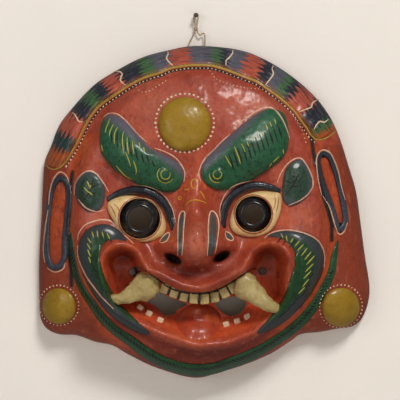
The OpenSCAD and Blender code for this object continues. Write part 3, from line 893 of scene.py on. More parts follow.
def cut_with(obj, cutter):
    """Takes the cutter's shape out of a piece, and throws the cutter away."""
    drill = obj.modifiers.new("holes", "BOOLEAN")
    drill.object = cutter
    drill.solver = "MANIFOLD"
    bpy.context.view_layer.update()
    cut = bpy.data.meshes.new_from_object(obj.evaluated_get(bpy.context.evaluated_depsgraph_get()))
    obj.modifiers.clear()
    obj.data = cut
    bpy.data.objects.remove(cutter)


def rim_in_order(verts, t, turn):
    """The vertices on the rim of a round grid, in order from one corner of the grid."""
    start = math.pi / 4 - 1e-6
    rim = np.flatnonzero(t > t.max() - 1e-9)
    return [verts[i] for i in rim[np.argsort((turn[rim] - start) % TAU)]]


def nostrils(x, u):
    """1 at the middle of each slanting nostril, falling away round it."""
    return (slant_swell(x, u, (-20.5, -41.5), (9.5, 3.9), -28)
            + slant_swell(x, u, (23, -39.5), (9.3, 3.9), 30))


def rim_to_rim(bm, front, back, share):
    """Faces between two rims where the front one has share vertices for each behind."""
    for i, corner in enumerate(back):
        run = [front[(share * i + j) % len(front)] for j in range(share + 1)]
        for j in range(share - 1):
            bm.faces.new((corner, run[j], run[j + 1]))
        bm.faces.new((corner, run[-2], run[-1], back[(i + 1) % len(back)]))


def build_shell():
    """The moulded wall: a painted front, a raw hollow back, and the holes through them."""
    back_cells = 135
    share = 2
    bm = bmesh.new()
    verts, t, turn = round_grid(bm, share * back_cells)
    front_rim = rim_in_order(verts, t, turn)
    x, u = (centre[:, None] + t * reach(turn) * np.array([np.cos(turn), np.sin(turn)]))
    fade = np.clip((1 - t) / 0.03, 0, 1)
    depth = skin(x, u) + fade * hand_marks(x, u) - NOSTRIL_DEPTH * nostrils(x, u)
    place_verts(verts, to_space(x, u, depth))
    verts, t, turn = round_grid(bm, back_cells)
    back_rim = rim_in_order(verts, t, turn)
    round_it = np.array([np.cos(turn), np.sin(turn)])
    x, u = centre[:, None] + t * reach(turn) * round_it
    inner = t * reach(turn) - WALL * ease((t - 0.85) / 0.15)
    filled = (6 * swell(x, u, (1, -41), (30, 9)) + NOSTRIL_DEPTH * nostrils(x, u)
              + 16 * swell(x, u, (33, -60), (11, 9)) + 16 * swell(x, u, (-34, -60), (11, 9))
              + 5 * swell(x, u, (0, -70), (30, 6)))
    marks = np.clip((1 - t) / 0.1, 0, 1) * 0.8 * hand_marks(x + 200, u, 3)
    depth = np.maximum(0, skin(x, u) - WALL - filled + marks)
    place_verts(verts, to_space(*(centre[:, None] + inner * round_it), depth))
    rim_to_rim(bm, front_rim, back_rim, share)
    bmesh.ops.recalc_face_normals(bm, faces=bm.faces)
    shell = raw_object("moulded_face", bm)
    cut_with(shell, hole_cutter())
    return shell


def chain_of(route):
    """A plan route as a chain with no width."""
    return [(x, u, 0) for x, u in route]


def paint_face(obj):
    """Where each layer of paint lies on the moulded face, painted highlights and painted shade
    among them.
    """
    x, u, depth = plan_of(obj)
    m = chain_gap(x, u, MOUTH)
    q = face_ring(x, u)
    paint_map(obj, "recess", ease((1 - m) / 4))
    paint_map(obj, "panel", ease((q - 0.98) / 0.07) * (u < 60))
    sides = np.clip((np.abs(x - 2) - 30) / 30, 0, 1)
    beside_beard = chain_gap(x, u, chain_of([
        (120, -36), (116, -52), (108, -67), (98, -83), (88, -95), (74, -106), (60, -115)]))
    paint_map(obj, "warm", np.clip(
        np.exp(-((m - 3) / 5) ** 2) * sides
        + ease((q - 0.9) / 0.07) * ease((1.08 - q) / 0.07) * (u < 70)
        + ease((4.5 - beside_beard) / 2) + 1.2 * swell(x, u, (-125, -9), (8, 34))
        + 1.2 * swell(x, u, (121.5, 18), (8, 30)) + 0.9 * swell(x, u, (-2, 22), (18, 22))
        + 0.8 * swell(x, u, (-30, -24), (12, 8)) + 0.8 * swell(x, u, (78, -6), (9, 12))
        + 0.7 * swell(x, u, (0, -110), (34, 8)) + 0.6 * swell(x, u, (25, 42), (30, 6)), 0, 1))
    # Painted highlight with some rubbed wear, where the lamp's sheen falls on the nose tip,
    # forehead, cheeks and upper lip
    paint_map(obj, "wear_and_highlight", np.clip(
        0.8 * swell(x, u, (-3, -28), (13, 15)) + 0.7 * swell(x, u, (48, 92), (30, 12))
        + 0.6 * swell(x, u, (-35, 96), (30, 16)) + 0.5 * swell(x, u, (92, -4), (14, 14))
        + 0.5 * swell(x, u, (-90, -4), (8, 10)) + 0.4 * swell(x, u, (45, -52), (28, 7)), 0, 1))
    under_nose = (swell(x, u, (0, -52), (28, 8)) + 0.8 * swell(x, u, (-64, -40), (10, 6))
                  + 0.8 * swell(x, u, (64, -38), (10, 6)))
    beneath = np.exp(-((m - 12) / 4) ** 2) * (u < -95)
    paint_map(obj, "shade", np.clip(under_nose + 0.7 * beneath
                                    + 0.7 * ease((-u - 116) / 16), 0, 1))
    lines = np.minimum(chain_gap(x, u, chain_of(crease_left)),
                       chain_gap(x, u, chain_of(crease_right)))
    # Painted shade: black patches round the two tie holes, so that they look deep and dark
    painted_hole_shade = sum(ease((r - np.hypot(x - at[0], u - at[1])) / 1.6)
               for at, r in (((-55, -54), 5.4), (tie_right, 4.6)))
    paint_map(obj, "creases_and_tie_hole_shade", np.clip(ease((3 - lines) / 2.4) + painted_hole_shade
                                     + ease((nostrils(x, u) - 0.3) / 0.25), 0, 1))
    paint_map(obj, "inside", ease(
        (skin(x, u) - NOSTRIL_DEPTH * nostrils(x, u) - depth - 1.6) / 1.2))


face = build_shell()
paint_face(face)
dress_piece(face, red_paint, "face_shell")


# ---- Applied relief ----

def slope_map(obj, at, direction, half):
    """The "upper" map, which runs from -1 to 1 across a piece in a plan direction."""
    x, u, _ = plan_of(obj)
    paint_map(obj, "upper", ((x - at[0]) * direction[0] + (u - at[1]) * direction[1]) / half)


def round_pad(name, at, r, height, node):
    pad_piece(name, circle_curve(at, r, 24), at, height, ochre_paint, node)


def raise_knob(obj, at, r):
    """A round knob modelled on a pad, with a groove pressed round it."""
    knob_height, groove_depth, groove_width = 2.6, 0.8, 3
    for v in obj.data.vertices:
        gap = math.hypot(v.co.x / MM - at[0], (v.co.z - MID_Z) / MM - at[1])
        if v.normal.y < 0 and gap < r:
            v.co.y -= knob_height * MM * math.sqrt(1 - (gap / r) ** 2)
        elif v.normal.y < 0 and gap < r + groove_width:
            v.co.y += groove_depth * MM * math.sin(math.pi * (gap - r) / groove_width)


def brow(name, points, middle, edge_at, direction, half, knob_at, knob_r, node):
    """A green pad, mauve towards its upper edge, with a scroll knob at its inner end."""
    pad = pad_piece(name, points, middle, 12, brow_paint, node, n=64)
    slope_map(pad, edge_at, direction, half)
    raise_knob(pad, knob_at, knob_r)


def temple_leaf(name, points, middle, heart, reach_across, reach_up, node):
    leaf = pad_piece(name, points, middle, 6, leaf_paint, node)
    x, u, _ = plan_of(leaf)
    paint_map(leaf, "outer",
              np.hypot((x - heart[0]) / reach_across, (u - heart[1]) / reach_up) - 0.9)


def cheek_flame(name, route, outer_edge, node):
    """A scroll beside the mouth, slate along its outer edge and green inside it."""
    slate_width = 7.5
    flame = strip_piece(name, route, 6, flame_paint, node)
    x, u, _ = plan_of(flame)
    paint_map(flame, "outer", 1.0 - chain_gap(x, u, chain_of(outer_edge)) / slate_width)


boss_at, left_disc_at, right_disc_at = (-10, 79), (-123, -84), (130, -85)
left_scroll_at, right_scroll_at = (-27, 33), (19, 33)
round_pad("forehead_boss_dome", boss_at, 23.5, 9, "forehead_boss")
brow("left_brow_pad", [
    (-77, 87), (-62, 81), (-46, 63), (-39, 56), (-25, 50), (-13, 41), (-11, 32), (-14, 23.5),
    (-23, 18.5), (-39, 21.5), (-57, 28.5), (-73, 39), (-84, 53), (-86, 69), (-84, 81),
], (-53, 49), (-48, 52), (0.6, 0.8), 17, left_scroll_at, 6.5, "brow_left")
brow("right_brow_pad", [
    (65, 92), (79, 87), (83, 66), (78, 50), (60, 36), (41, 26), (24, 20.5), (10, 25), (4, 37),
    (10, 50), (25, 64), (41, 78), (53, 87),
], (46, 54), (38, 60), (-0.7, 0.7), 16, right_scroll_at, 6, "brow_right")
temple_leaf("left_temple_leaf", [
    (-95, 36), (-87, 32), (-82, 24), (-81, 15), (-84, 5), (-91, 1), (-99, 3), (-107, 13),
    (-108, 24), (-104, 32)], (-95, 18), (-95, 17), 9, 12, "temple_leaf_left")
temple_leaf("right_temple_leaf", [
    (93, 47), (98, 44), (102, 36), (104, 26), (102, 18), (94, 10), (84, 6), (79, 9), (77, 15),
    (77, 25), (79, 36), (85, 44)], (90, 27), (89, 27), 9, 14, "temple_leaf_right")
round_pad("left_ear_disc_pad", left_disc_at, 15.5, 6, "ear_disc_left")
round_pad("right_ear_disc_pad", right_disc_at, 17, 6, "ear_disc_right")
pad_piece("tongue_pad", [
    (3 + 20.5 * math.cos(a / 18 * TAU), -98 + 16.5 * math.sin(a / 18 * TAU)) for a in range(18)
], (3, -96), 15, tongue_paint, "tongue", fullness=2.4, sharp=1.25)

cheek_flame("left_cheek_flame", [
    (-62, -25.5, 1), (-70.5, -20.5, 4.5), (-81, -18.5, 8), (-91, -23.5, 10), (-95, -33, 10.5),
    (-94, -45, 9.5), (-89, -60, 8.5), (-82, -73, 7.5), (-73, -85, 6.5), (-61, -96, 5.5),
    (-50, -104, 3.5), (-42, -108, 1),
], [(-62, -25), (-80, -14), (-96, -18), (-102, -33), (-100, -50), (-93, -66), (-80, -83),
    (-62, -100), (-44, -108)], "flame_left")
cheek_flame("right_cheek_flame", [
    (64, -21, 1), (76, -20, 3.5), (87, -23, 7.5), (97, -30, 12), (101, -40, 14),
    (100, -51, 13), (95, -62, 12), (89, -74, 10), (81, -85, 8), (72, -95, 6),
    (63, -102, 3.5), (55, -107, 1),
], [(64, -20), (86, -18), (102, -24), (111, -38), (110, -54), (102, -70), (88, -88),
    (72, -100), (57, -107)], "flame_right")

beard_route = [
    (-112, -19, 1), (-111, -34, 2.5), (-108, -52, 3), (-103, -66, 3), (-94, -80, 3.5),
    (-84, -94, 4), (-73, -105, 4), (-59, -115, 4.5), (-44, -126, 5), (-28, -135, 5),
    (-10, -140.5, 5.5), (4, -141.5, 5.5), (18, -139.5, 5), (31, -135, 5), (49, -128, 5),
    (67, -118, 4.5), (85, -106, 4.5), (97.5, -94, 4.5), (106.5, -82, 4), (114.5, -68, 3.8),
    (121, -54, 3.5), (124, -39, 3), (127, -26, 1)]
beard = strip_piece("beard_band_strip", beard_route, 4, beard_paint, "beard_band",
                    across=11, power=0.7)
slope_map(beard, (0, -60), (0, 1), 60)


def lid(name, route, node):
    strip_piece(name, route, 4.5, lid_paint, node, step=0.9)


lid("left_eyelid_roll", [
    (-79, 11.5, 1.5), (-68, 17.3, 2.8), (-54, 20, 3.2), (-39, 16.6, 3.4), (-27, 6, 3.8),
    (-22, -7, 3.4), (-21.5, -15, 1.5)], "eyelid_left")
lid("right_eyelid_roll", [
    (75, 19, 1.5), (66, 22.5, 2.6), (56, 24, 3), (46, 22.8, 3.2), (34, 16.4, 3.4),
    (26.5, 6, 3.8), (24.5, -6, 3), (25.5, -13, 1.4)], "eyelid_right")


def ear_loop(name, points, node):
    """A rounded cord of pulp laid in a closed loop."""
    count = 150
    curve = even(through(points + points[:1], 600), count + 1)[:-1]
    sides = 9
    bm = bmesh.new()
    verts = strip_grid(bm, count + 1, sides)
    side = right_of(np.roll(curve, -1, axis=0) - np.roll(curve, 1, axis=0))
    ring = np.concatenate([curve, curve[:1]])
    side = np.concatenate([side, side[:1]])
    c = np.linspace(-1, 1, sides)
    p = (ring[:, None] + side[:, None] * (2.9 * c)[None, :, None]).reshape(-1, 2)
    rise = 3.5 * np.sqrt(np.maximum(0, 1 - np.tile(c, count + 1) ** 2))
    place_verts(verts, to_space(*p.T, laid_on(*p.T, rise)))
    bmesh.ops.remove_doubles(bm, verts=verts, dist=1e-7)
    close_under(bm, LOOP_WALL)
    slope_map(make_piece(name, bm, loop_paint, node), (0, -5), (0, 1), 60)


ear_loop("left_ear_loop_cord", [
    (-122, 31), (-116, 26), (-114, 15), (-115.5, -3), (-117.5, -25), (-118, -40), (-121.5, -48),
    (-127, -50), (-132, -46), (-134.5, -34), (-134, -12), (-132, 8), (-128, 24)],
    "ear_loop_left")
ear_loop("right_ear_loop_cord", [
    (113, 53), (120, 49), (125, 37), (129.5, 20), (133, 3), (134, -9), (129, -16), (125, -8),
    (121, 6), (116, 19), (111, 34), (109, 46)], "ear_loop_right")

yellow_route = [
    (-136, 42), (-128, 38), (-119, 42.5), (-111, 54.5), (-105, 65.5), (-98, 80), (-89, 93),
    (-79, 101), (-70.5, 106.5), (-61.5, 112.5), (-52.5, 117.5), (-42.5, 121.5), (-32.5, 124.5),
    (-23.5, 128.5), (-13, 130.5), (-3, 131.5), (8, 131.5), (14.5, 131), (25, 128),
    (35.5, 124), (46, 120), (55, 116.5), (63.5, 110.5), (72, 104.5), (80, 98), (87.5, 91),
    (94.5, 81.5), (99, 75.5), (103, 69), (108, 65), (115, 65.5), (121.5, 69), (126.5, 73),
]


def build_head_band():
    """The padded band along the top edge, from the yellow line to the rim."""
    inner = through(yellow_route, 400)
    bearing = np.degrees(np.arctan2(inner[:, 1] - centre[1], inner[:, 0] - centre[0]))
    order = np.argsort(bearing)
    rows, across = 260, 25
    turn = np.radians(np.linspace(STRIPE_FROM, STRIPE_TO, rows))
    inner_reach = np.hypot(*(inner - centre).T)[order]
    high = reach(turn) * 0.9985
    low = np.minimum(np.interp(np.degrees(turn), bearing[order], inner_reach), high - 1.5)
    c = np.sin(np.linspace(0, math.pi / 2, across))
    r = low[:, None] + (high - low)[:, None] * c[None, :]
    x = (centre[0] + r * np.cos(turn)[:, None]).ravel()
    u = (centre[1] + r * np.sin(turn)[:, None]).ravel()
    ends = np.clip(np.minimum(np.arange(rows), np.arange(rows)[::-1]) / 14, 0, 1)
    cc = np.tile(c, rows)
    rise = (6.2 * np.sqrt(np.maximum(0, 1 - (1 - np.minimum(1, cc / 0.42)) ** 2))
            * (1 - 0.55 * cc ** 2) * np.repeat(np.sqrt(ends), across))
    rib = 0.35 * np.sin(np.repeat(turn, across) * 95) * np.sin(np.pi * cc)
    bm = bmesh.new()
    verts = strip_grid(bm, rows, across)
    place_verts(verts, to_space(x, u, laid_on(x, u, rise + rib, 1.4)))
    bmesh.ops.recalc_face_normals(bm, faces=bm.faces)
    if bm.faces[len(bm.faces) // 2].normal.y > 0:
        bmesh.ops.reverse_faces(bm, faces=bm.faces)
    close_under(bm, STRIP_WALL)
    band = make_piece("head_band_roll", bm, band_stripes_paint, "head_band")
    bx, bu, _ = plan_of(band)
    at = np.degrees(np.arctan2(bu - centre[1], bx - centre[0]))
    paint_map(band, "along_band", (STRIPE_FROM - at) / (STRIPE_FROM - STRIPE_TO))
    out = np.hypot(bx - centre[0], bu - centre[1])
    low_at = np.interp(at, bearing[order], inner_reach)
    high_at = reach(np.radians(at))
    paint_map(band, "across_band", (out - low_at) / np.maximum(1, high_at - low_at))


build_head_band()


# ---- Eyes ----

def eyeball(name, points, at, node, iris_node):
    """A swollen white with a seat cut into it for the iris ring."""
    ball = pad_piece(name, points, at, 10, cream_paint, node, n=56, fullness=4)
    seat_clearance = 0.15
    bm = bmesh.new()
    add_prism(bm, circle_curve(at, iris_radius(iris_node) + seat_clearance, 64))
    bmesh.ops.recalc_face_normals(bm, faces=bm.faces)
    cut_with(ball, raw_object("seat", bm))
    dress_piece(ball, cream_paint)


eyeball("left_eyeball", [
    (-79, 7), (-67, 14), (-52, 14), (-37, 9), (-27, -8), (-30, -20), (-47, -25.5),
    (-62, -19.5), (-73, -7.5)], eye_left, "eye_left", "iris_left")
eyeball("right_eyeball", [
    (76, 15), (68, 18), (53, 18), (38, 11), (30, -6), (34, -17), (52, -21), (67, -15),
    (75, 0)], eye_right, "eye_right", "iris_right")


def turned_iris(name, node, at, hole_r):
    """A turned black ring: outer bevel, flat, raised lip, and the sight hole."""
    outer = iris_radius(node)
    foot = float(skin(*at)) - 1
    crown = 12
    profile = [
        (hole_r, 0), (outer, 0), (outer, crown - 5), (outer - 0.7, crown - 3.6),
        (outer - 2.2, crown - 2.4), (hole_r + 4.4, crown - 1.3), (hole_r + 3.2, crown - 0.9),
        (hole_r + 2.4, crown + 0.2), (hole_r + 1.5, crown + 0.9), (hole_r + 0.6, crown + 0.7),
        (hole_r, crown - 0.2), (hole_r, crown - 4),
    ]
    bm = bmesh.new()
    ring = [bm.verts.new((r * MM, -(foot + h) * MM, 0)) for r, h in profile]
    edges = [bm.edges.new((a, b)) for a, b in zip(ring, ring[1:] + ring[:1])]
    bmesh.ops.spin(bm, geom=ring + edges, cent=(0, 0, 0), axis=(0, 1, 0), angle=TAU,
                   steps=72, use_merge=True, use_duplicate=False)
    bmesh.ops.remove_doubles(bm, verts=bm.verts, dist=1e-7)
    bmesh.ops.recalc_face_normals(bm, faces=bm.faces)
    bmesh.ops.translate(bm, verts=bm.verts, vec=(at[0] * MM, 0, MID_Z + at[1] * MM))
    make_piece(name, bm, black_paint, node)


turned_iris("left_iris_ring", "iris_left", eye_left, 10.5)
turned_iris("right_iris_ring", "iris_right", eye_right, 9)


# ---- Teeth and fangs ----

def tooth_block(bm, at, w, h, turn, front, root, seed, bevel=1.5):
    """A worn block of pulp that stands in the gum, turned to follow the jaw."""
    made = bmesh.ops.create_cube(bm, size=1)
    verts = made["verts"]
    edges = {e for v in verts for e in v.link_edges}
    bmesh.ops.scale(bm, verts=verts, vec=(w, front - root, h))
    bevelled = bmesh.ops.bevel(bm, geom=list(verts) + list(edges), offset=bevel, segments=3,
                               profile=0.5, affect="EDGES", material=-1)
    verts = list({v for f in bevelled["faces"] for v in f.verts})
    c, s = math.cos(math.radians(turn)), math.sin(math.radians(turn))
    for v in verts:
        x, y, z = v.co
        narrow = 1 - 0.1 * max(0, -z / h)
        x *= narrow
        wear = 0.35 * noise.noise((x / 3 + seed, y / 4, z / 3))
        px, pu = at[0] + x * c - z * s, at[1] + x * s + z * c
        v.co = (px * MM, -((front + root) / 2 - y + wear) * MM, MID_Z + pu * MM)


def tooth_row(name, row, w, h, proud, node, mat, bevel=1.5):
    """Blocks at (across, up, turn), which stand proud of the gum by so many mm."""
    bm = bmesh.new()
    for i, (x, u, turn) in enumerate(row):
        gum = float(skin(x, u))
        footing = max(float(skin(x + a * w, u + b * h)) for a in (-0.4, 0, 0.4)
                      for b in (-0.4, 0, 0.4))
        deep_rooted = proud > 9
        root = min(gum + proud - 4, footing - 2.4) if deep_rooted else gum - 1.5
        tooth_block(bm, (x, u), w, h, turn, gum + proud, root, 3.7 * i, bevel)
    bmesh.ops.recalc_face_normals(bm, faces=bm.faces)
    make_piece(name, bm, mat, node)


upper_row = [(-28, -68, -22), (-19, -72, -18), (-10.5, -75, -14), (-1.5, -77, -6),
             (7.5, -77.5, 2), (16.5, -76, 8), (25.5, -72, 24), (33.2, -67.6, 30)]
tooth_row("upper_tooth_row", upper_row, 8.6, 9.6, 19, "upper_teeth", tooth_paint)
tooth_row("upper_tooth_gaps", [
    tuple((a + b) / 2 for a, b in zip(one, other)) for one, other in zip(upper_row, upper_row[1:])
], 1.9, 8.2, 18.9, None, black_line_paint, 0.3)
tooth_row("lower_teeth_left_row", [(-50, -86, -35), (-42, -91, -30), (-32, -97, -20)],
          6.2, 5.8, 2.6, "lower_teeth_left", pale_tooth_paint)
tooth_row("lower_teeth_right_row", [(27, -101, 12), (37, -98, 18), (46, -94, 25)],
          6.2, 5.8, 2.6, "lower_teeth_right", pale_tooth_paint)


def fang(name, route, node, seed):
    """A tapering tusk of rough pulp along points of (across, up, depth, radius)."""
    line = even(through(route, 200), 44)
    bm = bmesh.new()
    tube(bm, to_space(line[:, 0], line[:, 1], line[:, 2]), line[:, 3] * MM, 36)
    flatness, middle = 0.8, -59 * MM
    for v in bm.verts:
        p = v.co / MM
        lump = (1.5 * noise.noise((p.x / 7 + seed, p.y / 7, p.z / 7))
                + 0.8 * noise.noise((p.x / 2.6, p.y / 2.6 + seed, p.z / 2.6)))
        v.co += v.normal * lump * MM
        v.co.y = middle + (v.co.y - middle) * flatness
    make_piece(name, bm, ivory_paint, node)


fang("left_fang_tusk", [
    (-35.5, -61.5, 56, 5), (-38, -62.5, 57, 10), (-42.5, -64.5, 57.5, 13.2),
    (-48.5, -68.5, 59, 11.6), (-55, -72, 60.5, 8.8), (-61, -75, 62, 6.8),
    (-68, -77, 62.5, 4.8), (-74, -77.6, 62.5, 3.4), (-76.5, -77.7, 62, 1.2)],
    "fang_left", 0.3)
fang("right_fang_tusk", [
    (35.5, -63, 57.5, 5), (38.5, -64, 58, 10.4), (43.5, -66, 58.5, 12.6),
    (49, -70.5, 60, 10.4), (55, -75.5, 61.5, 8), (62, -81, 62.5, 6.3),
    (68.5, -85, 62, 5.2), (72.5, -86.6, 61, 3.8), (74, -87, 60.5, 1.6)],
    "fang_right", 5.1)


# ---- Painted lines, hatching and dots ----

LINE_STEP = 1.2


def relief_tree():
    """Everything of the mask's modelled surface, for laying paint on."""
    verts, faces = [], []
    for obj in bpy.context.scene.objects:
        if obj.type != "MESH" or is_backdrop(obj) or obj.hide_render:
            continue
        if obj.name.startswith("twine") or obj.name == "wall_nail":
            continue
        start = len(verts)
        verts += [v.co.copy() for v in obj.data.vertices]
        faces += [[start + i for i in p.vertices] for p in obj.data.polygons]
    return BVHTree.FromPolygons(verts, faces)


surface_tree = relief_tree()


def surface_depth(x, u):
    hit = surface_tree.ray_cast(Vector((x * MM, -0.2, MID_Z + u * MM)), Vector((0, 1, 0)))[0]
    return -hit.y / MM if hit else float(skin(x, u))


def draw_lines(name, routes, half, mat, lift=0.28, taper=True, wobble=0.12):
    """Raised lines of paint along plan routes, each a thin closed ribbon on the surface."""
    bm = bmesh.new()
    for k, route in enumerate(routes):
        smooth = through(route, 16 * len(route))
        rows = max(5, int(length_of(smooth) / LINE_STEP) + 2)
        line = even(smooth, rows)
        side = right_of(np.gradient(line, axis=0))
        s = np.linspace(0, 1, rows)
        width = half * (np.sqrt(np.sin(np.pi * np.clip(0.06 + 0.88 * s, 0, 1)))
                        if taper else np.ones(rows))
        width = width * np.array([
            1 + wobble * 2 * noise.noise((i * 0.55, k * 3.1, 0.7)) for i in range(rows)])
        c = np.array([-1, -0.55, 0, 0.55, 1])
        p = (line[:, None] + side[:, None] * (width[:, None] * c)[..., None]).reshape(-1, 2)
        rise = np.tile(lift * np.array([-0.25, 0.75, 1, 0.75, -0.25]), rows)
        depth = np.array([surface_depth(x, u) for x, u in p]) + rise
        verts = strip_grid(bm, rows, 5)
        place_verts(verts, to_space(p[:, 0], p[:, 1], depth))
    close_under(bm, PAINT_WALL)
    make_piece(name, bm, mat)


def draw_dots(name, places, r, mat, lift=0.35, seed=1):
    """Small raised drops of paint."""
    spread = random.Random(seed)
    bm = bmesh.new()
    for x, u in places:
        size = r * spread.uniform(0.8, 1.2)
        spin = Matrix.Diagonal((size * MM, lift * MM, size * MM * spread.uniform(0.85, 1.15), 1))
        at = Vector((x * MM, -surface_depth(x, u) * MM, MID_Z + u * MM))
        bmesh.ops.create_icosphere(bm, subdivisions=1, radius=1,
                                   matrix=Matrix.Translation(at) @ spin)
    make_piece(name, bm, mat)


def spaced(route, gap):
    """Points at an even gap along a route."""
    line = through(route, 40 * len(route))
    return [tuple(p) for p in even(line, max(2, int(length_of(line) / gap) + 1))]


def beside(route, distance):
    """A route moved sideways, towards its right."""
    line = even(through(route, 20 * len(route)), 4 * len(route))
    return [tuple(p) for p in line + distance * right_of(np.gradient(line, axis=0))]


def ring_route(at, r, start=0, sweep=360, count=20):
    a = np.radians(np.linspace(start, start + sweep, count))
    return [(at[0] + r * math.cos(t), at[1] + r * math.sin(t)) for t in a]


draw_lines("yellow_head_line", [yellow_route], 1.1, yellow_line_paint, lift=0.6)
draw_lines("black_head_line", [beside(yellow_route[2:30], 3)], 1.35, black_line_paint, lift=0.2)
head_dots = spaced(beside(yellow_route[2:30], 3.4), 3.5)
draw_dots("head_line_dots", head_dots, 0.95, white_paint, seed=2)
draw_dots("boss_dots", ring_route(boss_at, 26, 0, 351, 40), 1.25, white_paint, seed=3)
draw_dots("ear_disc_dots", ring_route(left_disc_at, 18, 0, 350, 34)
          + ring_route(right_disc_at, 19.4, 0, 350, 36), 0.85, white_paint, seed=4)

band_squiggles = [
    [(-112, 89), (-109.5, 88), (-107, 84), (-105, 81), (-101.5, 80.5)],
    [(-74, 126.5), (-68.5, 126), (-66.5, 123.5), (-68, 118.5), (-65.5, 115), (-63, 113.5)],
    [(-26, 145), (-25, 142), (-26.5, 138), (-24, 134), (-20.5, 131)],
    [(33, 147), (33, 143), (30, 138.5), (27, 135.5), (27, 131)],
    [(70.5, 132.5), (68.5, 129), (69.5, 124), (66.5, 119), (63, 114.5), (62.5, 113)],
    [(111, 101.5), (105, 98), (103.5, 94), (99, 92), (92.5, 89.5)],
    [(119.5, 83.5), (115.5, 80.5), (111, 81), (107.5, 77), (106, 74)],
]
draw_lines("band_squiggle_lines", band_squiggles, 0.75, white_paint)

outline_routes = [
    [(-83, 84.5), (-77.5, 88), (-70, 87), (-64, 82.5), (-57.5, 76), (-50.5, 68), (-44, 62)],
    [(-37, 56.5), (-28, 53.5), (-19, 48.5), (-12.5, 41), (-10, 34), (-11, 26.5)],
    [(4.5, 26.5), (2.5, 34), (4.5, 41), (9, 48.5), (17, 56.5), (25, 64.5), (30.5, 69)],
    [(32.5, 73.5), (38, 79), (45, 83.5), (53, 89), (60.5, 92.5), (66.5, 93), (72, 89.5),
     (77.5, 81.5), (81, 73.5), (83.5, 65.5)],
    [(-55, -28.5), (-63, -21), (-69.5, -14.5), (-75.5, -8.5), (-83, -7), (-91, -8.5),
     (-99, -12), (-104.5, -19), (-105.5, -25.5)],
    [(-105.5, -30), (-105.5, -39), (-102.5, -48), (-98, -57), (-93.5, -63.5),
     (-86.5, -72.5), (-80, -79.5), (-73, -86.5)],
    [(60.5, -23.5), (66.5, -19), (75.5, -16.5), (86.5, -16.5), (97, -19), (106, -23.5),
     (112.5, -31), (115, -40), (114.5, -50.5)],
    [(-109, 15), (-108, 25), (-102.5, 33), (-95.5, 36.5), (-89, 34), (-83, 26.5),
     (-77.5, 17.5)],
    [(-105.5, 11.5), (-98, 3.5), (-89, 0), (-81, 2)],
    [(72, 25), (75.5, 34), (81, 42), (88, 47), (94.5, 47), (101, 37.5), (104.5, 26),
     (101.5, 17.5), (93.5, 10.5), (82, 5.5)],
    [(-132.5, 6), (-131.5, 17.5), (-128.5, 28.5), (-122.5, 35.5), (-117, 33),
     (-113.5, 26.5)],
    [(-133, 1.5), (-136, -16.5), (-137.5, -34.5), (-136, -46)],
    [(-134, -50.5), (-127, -54), (-119.5, -51.5), (-117, -45.5)],
    [(112.5, 14), (110, 25), (108, 37.5), (108, 48.5), (112.5, 55), (119.5, 53.5),
     (124, 46.5), (128, 35.5), (130.5, 23), (134, 10.5)],
    [(113.5, 14), (119, 5), (122.5, -5.5), (125, -14.5), (128.5, -20), (133, -17.5),
     (136, -9.5)],
]
draw_lines("pale_outlines", outline_routes, 0.78, pink_line_paint)

brow_hatches = [
    [(-76.5, 83.5), (-80, 74.5), (-81, 70)], [(-73.5, 78), (-76.5, 71.5), (-77, 67)],
    [(-69.5, 75.5), (-72.5, 69), (-72.5, 60)], [(-64, 71.5), (-65.5, 64.5), (-64, 51)],
    [(-61, 66.5), (-61, 59), (-59.5, 51)], [(-56.5, 63.5), (-56, 57.5), (-55, 51)],
    [(-62.5, 53), (-59.5, 45.5), (-58, 40)], [(-55.5, 45.5), (-53, 37.5), (-53.5, 33)],
    [(-50.5, 62), (-49.5, 56.5)], [(-46.5, 57.5), (-45.5, 53)], [(-84.5, 60), (-83, 53.5)],
    [(-71, 41), (-64, 33), (-57.5, 28.5)],
    [(26, 49.5), (31.5, 40)], [(34, 58), (37.5, 49), (39.5, 42.5)], [(40.5, 60.5), (43.5, 53)],
    [(45, 62), (47, 58)], [(49.5, 68), (51.5, 62.5)], [(54, 70), (55.5, 65.5)],
    [(57.5, 72.5), (59.5, 68)], [(62, 78), (64, 72.5)], [(65.5, 80.5), (67.5, 75.5)],
    [(70, 83), (71, 78)], [(77.5, 55.5), (78, 51)], [(68.5, 44), (74, 49)],
    [(65, 40), (67.5, 43)],
]
flame_hatches = [
    [(-92.5, -17.5), (-91, -23)], [(-88, -16.5), (-87, -23)], [(-83.5, -17.5), (-82, -23)],
    [(-79, -19), (-76.5, -24.5)], [(-96.5, -23), (-93, -28)], [(-97, -28), (-93.5, -33.5)],
    [(-96.5, -33.5), (-93.5, -40)], [(-95.5, -40), (-93.5, -45.5)],
    [(75.5, -19), (77.5, -23.5)], [(80, -21), (81, -26.5)], [(86.5, -23), (84, -27.5)],
    [(92, -25.5), (87.5, -31)], [(95.5, -29), (90, -34.5)], [(99, -32), (93.5, -39)],
    [(102.5, -35.5), (96.5, -42.5)], [(105.5, -39), (98, -47)], [(104.5, -46), (97, -53.5)],
    [(102.5, -52.5), (95.5, -59.5)], [(100.5, -59.5), (94.5, -67)], [(97, -67), (91, -73)],
]
leaf_strokes = [
    [(-97, 27.5), (-94.5, 21.5)], [(-93.5, 24), (-94.5, 20.5)], [(-100, 22), (-95.5, 17)],
    [(-96.5, 18.5), (-92, 15)],
]
draw_lines("yellow_hatching", brow_hatches + flame_hatches + leaf_strokes, 0.62, hatch_paint)
dark_hatches = [
    [(-74.5, 72.5), (-75, 62)], [(-70, 71), (-69.5, 56.5)], [(-66, 69), (-66, 56.5)],
    [(-62.5, 62), (-62, 53)], [(-59, 62), (-57, 49)], [(-54, 56.5), (-51.5, 45.5)],
    [(-48.5, 53), (-46.5, 44)], [(-44, 51), (-41.5, 44)], [(-39, 46), (-37, 40)],
]
